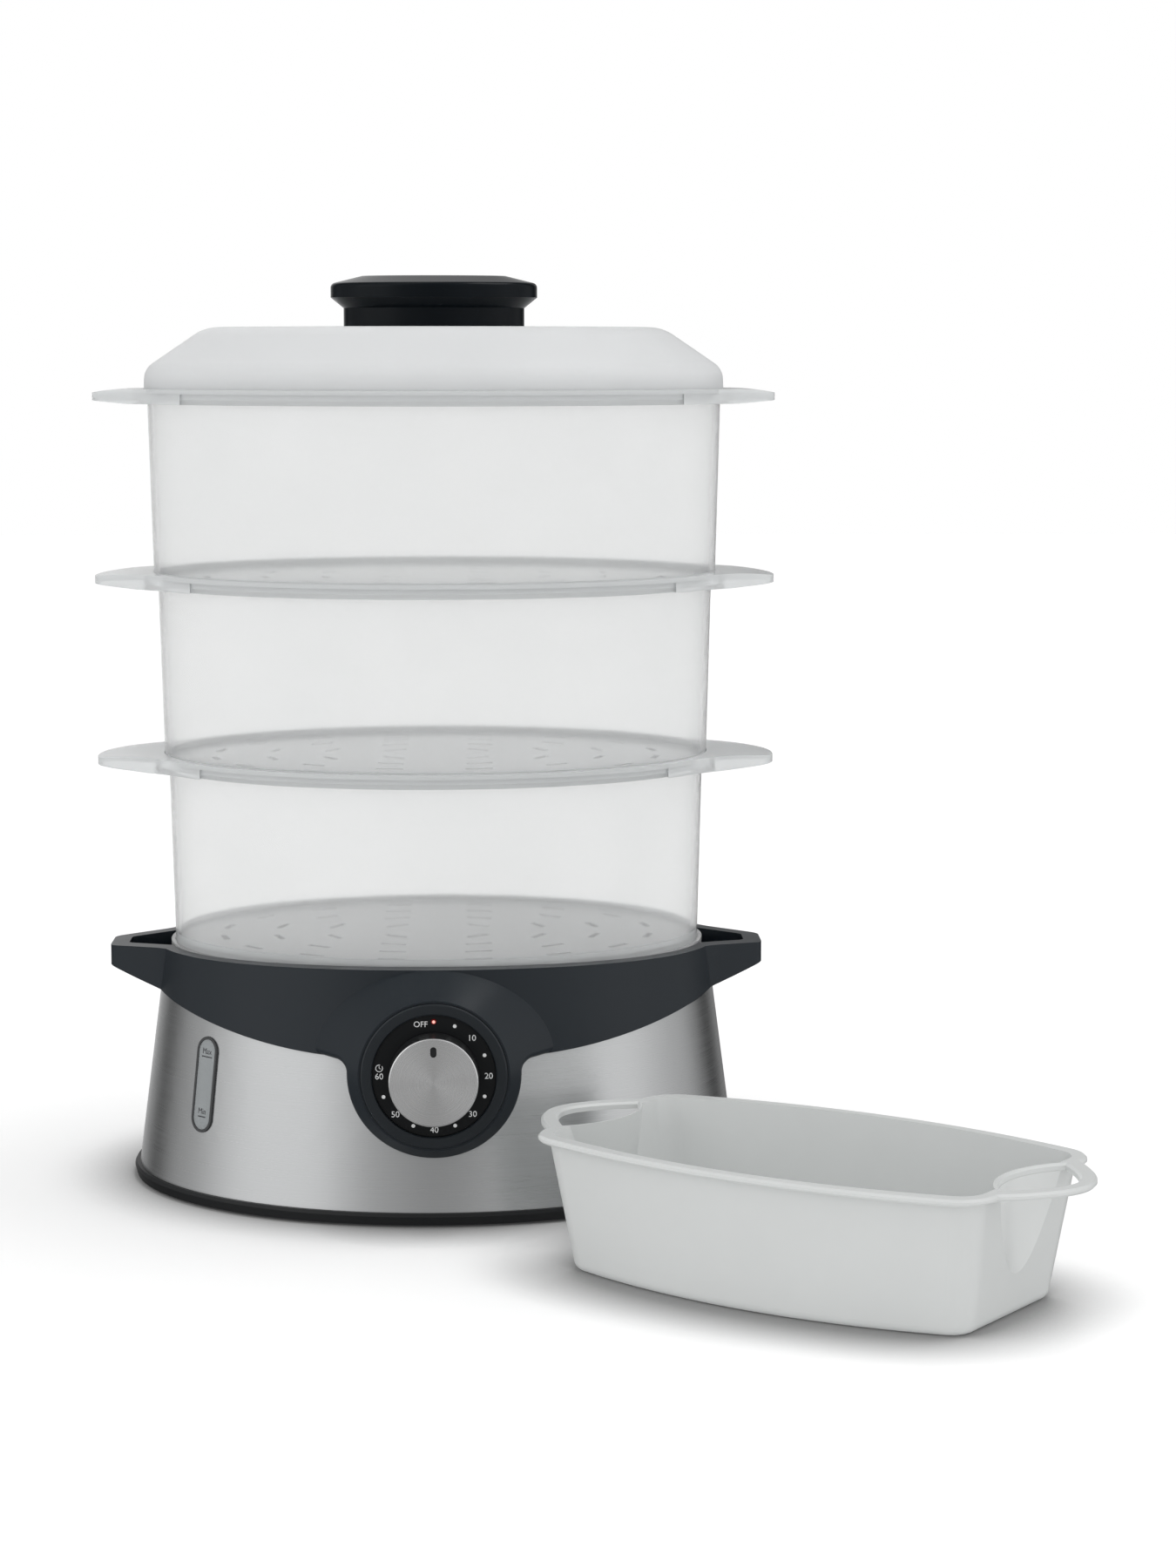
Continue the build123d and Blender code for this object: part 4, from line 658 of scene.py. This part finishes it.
class STEAMER_OT_dial(bpy.types.Operator):
    """Bezel, dial plate with its printed marks, lamp and knob"""

    bl_idname = "steamer.dial"
    bl_label = "Dial and knob"

    def execute(self, context):
        colours = context.scene.steamer_colours
        marks = context.scene.steamer_marks
        dress(moulded("bezel_plastic", colours.bezel, roughness=0.30, relief=0.01 * MM, Specular_IOR_Level=0.35),
              "dial_bezel")
        dress(moulded("dial_plastic", colours.dial, roughness=0.38, relief=0.01 * MM, Specular_IOR_Level=0.25),
              "dial_plate")
        dress(spun_face(colours.knob, colours.base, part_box("knob_cap")[0][1]), "knob_cap")
        dress(moulded("knob_plastic", colours.base, roughness=0.4), "knob_core")
        dress(lit_lens(colours.lamp, colours.glow), "lamp_lens")
        ink = Finish("dial_ink", colours.marks, 0.5)
        ink.tint(ink.noise(900.0), *shades(colours.marks, 0.06))
        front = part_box("dial_plate")[0][1] - marks.ink / 2
        upright = Matrix.Rotation(pi / 2, 4, "X")

        def at(x, z):
            return Matrix.Translation((x, front, DIAL_AXIS_Z + z)) @ upright

        def on_scale(minutes):
            turn = radians(minutes * DEGREES_A_MINUTE)
            return at(marks.circle * sin(turn), marks.circle * cos(turn))

        parts = [(words(str(minutes), marks.figure_height, marks.ink), on_scale(minutes))
                 for minutes in FIGURE_MINUTES]
        parts += [(disc(marks.dot, marks.ink), on_scale(minutes)) for minutes in DOT_MINUTES]
        parts.append((words("OFF", marks.figure_height * OFF_SHARE, marks.ink), at(*OFF_PLACE)))
        sign = at(-marks.circle, CLOCK_RISE)
        parts.append((ring_mark(CLOCK_RADIUS, CLOCK_LINE, marks.ink, CLOCK_START, CLOCK_SWEEP), sign))
        parts += [(strip(0, reach, CLOCK_HAND_LINE, marks.ink), sign @ Matrix.Rotation(turn, 4, "Z"))
                  for turn, reach in CLOCK_HANDS]
        piece("dial_marks", gather("dial_marks", parts), ink.material, "base")
        return {"FINISHED"}


class STEAMER_OT_window(bpy.types.Operator):
    """Water window with its level marks"""

    bl_idname = "steamer.window"
    bl_label = "Water window"

    def execute(self, context):
        colours = context.scene.steamer_colours
        marks = context.scene.steamer_marks
        pane = Finish("window_pane", colours.pane, 0.22, IOR=1.49, Transmission_Weight=0.35)
        pane.tint(pane.noise(60.0), *shades(colours.pane, 0.04))
        dress(pane.material, "water_window")
        ink = Finish("level_ink", LEVEL_INK, 0.5)
        ink.tint(ink.noise(900.0), *LEVEL_INK_TINTS)
        middle, up, turn = self.front()
        middle += turn.col[2].xyz * marks.ink / 2
        parts = []
        for word, word_height, line_height, reach in LEVEL_MARKS:
            for mark, height in ((words(word, marks.level_height, marks.ink), word_height),
                                 (strip(-reach * MM, reach * MM, marks.level_line, marks.ink), line_height)):
                parts.append((mark, Matrix.Translation(middle + up * height * MM) @ turn))
        piece("level_marks", gather("level_marks", parts), ink.material, "base")
        return {"FINISHED"}

    def front(self):
        """The middle of the window's flat front, the way up along it, and the turn that lays a mark on it."""
        corners = [v.co for v in nodes["water_window"].data.vertices]
        flat_out = Vector((cos(WINDOW_TURN) / SHELL_HALF_WIDTH,
                           sin(WINDOW_TURN) / (SHELL_HALF_WIDTH - SHELL_OVAL), 0)).normalized()
        out = (flat_out + Vector((0, 0, tan(SHELL_LEAN)))).normalized()
        across = Vector((0, 0, 1)).cross(flat_out).normalized()
        up = out.cross(across).normalized()
        reach = max(v.dot(out) for v in corners)
        flat = [v for v in corners if v.dot(out) > reach - WINDOW_SLACK]
        middle = sum(flat, Vector()) / len(flat)
        middle += out * (reach - middle.dot(out))
        return middle, up, Matrix((across, up, out)).transposed().to_4x4()


class STEAMER_OT_works(bpy.types.Operator):
    """Boiler, timer and the mains parts inside the base"""

    bl_idname = "steamer.works"
    bl_label = "Inner parts"

    def execute(self, context):
        dress(metal("cast_boiler_metal", CAST_METAL, roughness=0.42, grain=250.0), "heating_element")
        dress(metal("plated_steel", PLATED_STEEL, roughness=0.28), "heater_clamp", "heater_nuts", "timer_body",
              "timer_shaft", "timer_screws", "thermal_fuse", "handle_screws")
        dress(metal("bell_plate", BELL_METAL, roughness=0.12), "timer_bell")
        dress(moulded("seal_silicone", SILICONE, roughness=0.6), "heater_seal")
        dress(moulded("thermostat_body", THERMOSTAT_BLACK, roughness=0.5), "thermostat")
        dress(moulded("terminal_nylon", NYLON, roughness=0.45), "terminal_block")
        dress(moulded("lamp_tube", NEON_GLASS, roughness=0.15, Transmission_Weight=0.6), "neon_lamp")
        return {"FINISHED"}


class STEAMER_OT_trays(bpy.types.Operator):
    """Steam ring, drip tray and the three steaming trays"""

    bl_idname = "steamer.trays"
    bl_label = "Trays"

    def execute(self, context):
        colours = context.scene.steamer_colours
        plastic = veiled("tray_plastic", colours.tray, see_through=TRAY_CLEARNESS, roughness=0.12)
        dense_rims(plastic, colours.rim, TRAY_CLEARNESS, RIM_CLEARNESS)
        dress(plastic.material, *TRAYS)
        dress(veiled("drip_plastic", colours.tray, see_through=0.7, roughness=0.25).material,
              "steam_ring", "drip_tray")
        return {"FINISHED"}


class STEAMER_OT_lid(bpy.types.Operator):
    """Lid and its handle"""

    bl_idname = "steamer.lid"
    bl_label = "Lid"

    def execute(self, context):
        colours = context.scene.steamer_colours
        dress(veiled("lid_plastic", colours.lid, see_through=0.34, roughness=0.36).material, "lid")
        dress(moulded("handle_gloss", colours.gloss, roughness=0.16, relief=0.004 * MM, uneven=0.1, IOR=1.22),
              "lid_handle")
        return {"FINISHED"}


class STEAMER_OT_bowl(bpy.types.Operator):
    """Rice bowl"""

    bl_idname = "steamer.bowl"
    bl_label = "Rice bowl"

    def execute(self, context):
        colours = context.scene.steamer_colours
        dress(moulded("bowl_plastic", colours.bowl, roughness=0.30, grain=700.0, relief=0.008 * MM, uneven=0.02),
              "rice_bowl")
        return {"FINISHED"}


OPERATORS = (STEAMER_OT_stage, STEAMER_OT_base, STEAMER_OT_dial, STEAMER_OT_window, STEAMER_OT_works,
             STEAMER_OT_trays, STEAMER_OT_lid, STEAMER_OT_bowl)
GROUPS = (("steamer_colours", SteamerColours), ("steamer_marks", SteamerMarks), ("steamer_studio", SteamerStudio))


class STEAMER_PT_panel(bpy.types.Panel):
    """The steamer's values and its build steps"""

    bl_idname = "STEAMER_PT_panel"
    bl_label = "Food steamer"
    bl_space_type = "VIEW_3D"
    bl_region_type = "UI"
    bl_category = "Steamer"

    def draw(self, context):
        for step in OPERATORS:
            self.layout.operator(step.bl_idname)
        for name, group in GROUPS:
            box = self.layout.box()
            values = getattr(context.scene, name)
            for key in group.__annotations__:
                box.prop(values, key)


def register():
    """Makes the values, the build steps and the panel known."""
    for name, group in GROUPS:
        bpy.utils.register_class(group)
        setattr(bpy.types.Scene, name, PointerProperty(type=group))
    for cls in (*OPERATORS, STEAMER_PT_panel):
        bpy.utils.register_class(cls)


def unregister():
    """Takes the values, the build steps and the panel away again."""
    for cls in (STEAMER_PT_panel, *reversed(OPERATORS)):
        bpy.utils.unregister_class(cls)
    for name, group in reversed(GROUPS):
        delattr(bpy.types.Scene, name)
        bpy.utils.unregister_class(group)


def main():
    """Builds everything, one step after another."""
    register()
    for step in OPERATORS:
        family, name = step.bl_idname.split(".")
        getattr(getattr(bpy.ops, family), name)()


if __name__ == "__main__":
    main()
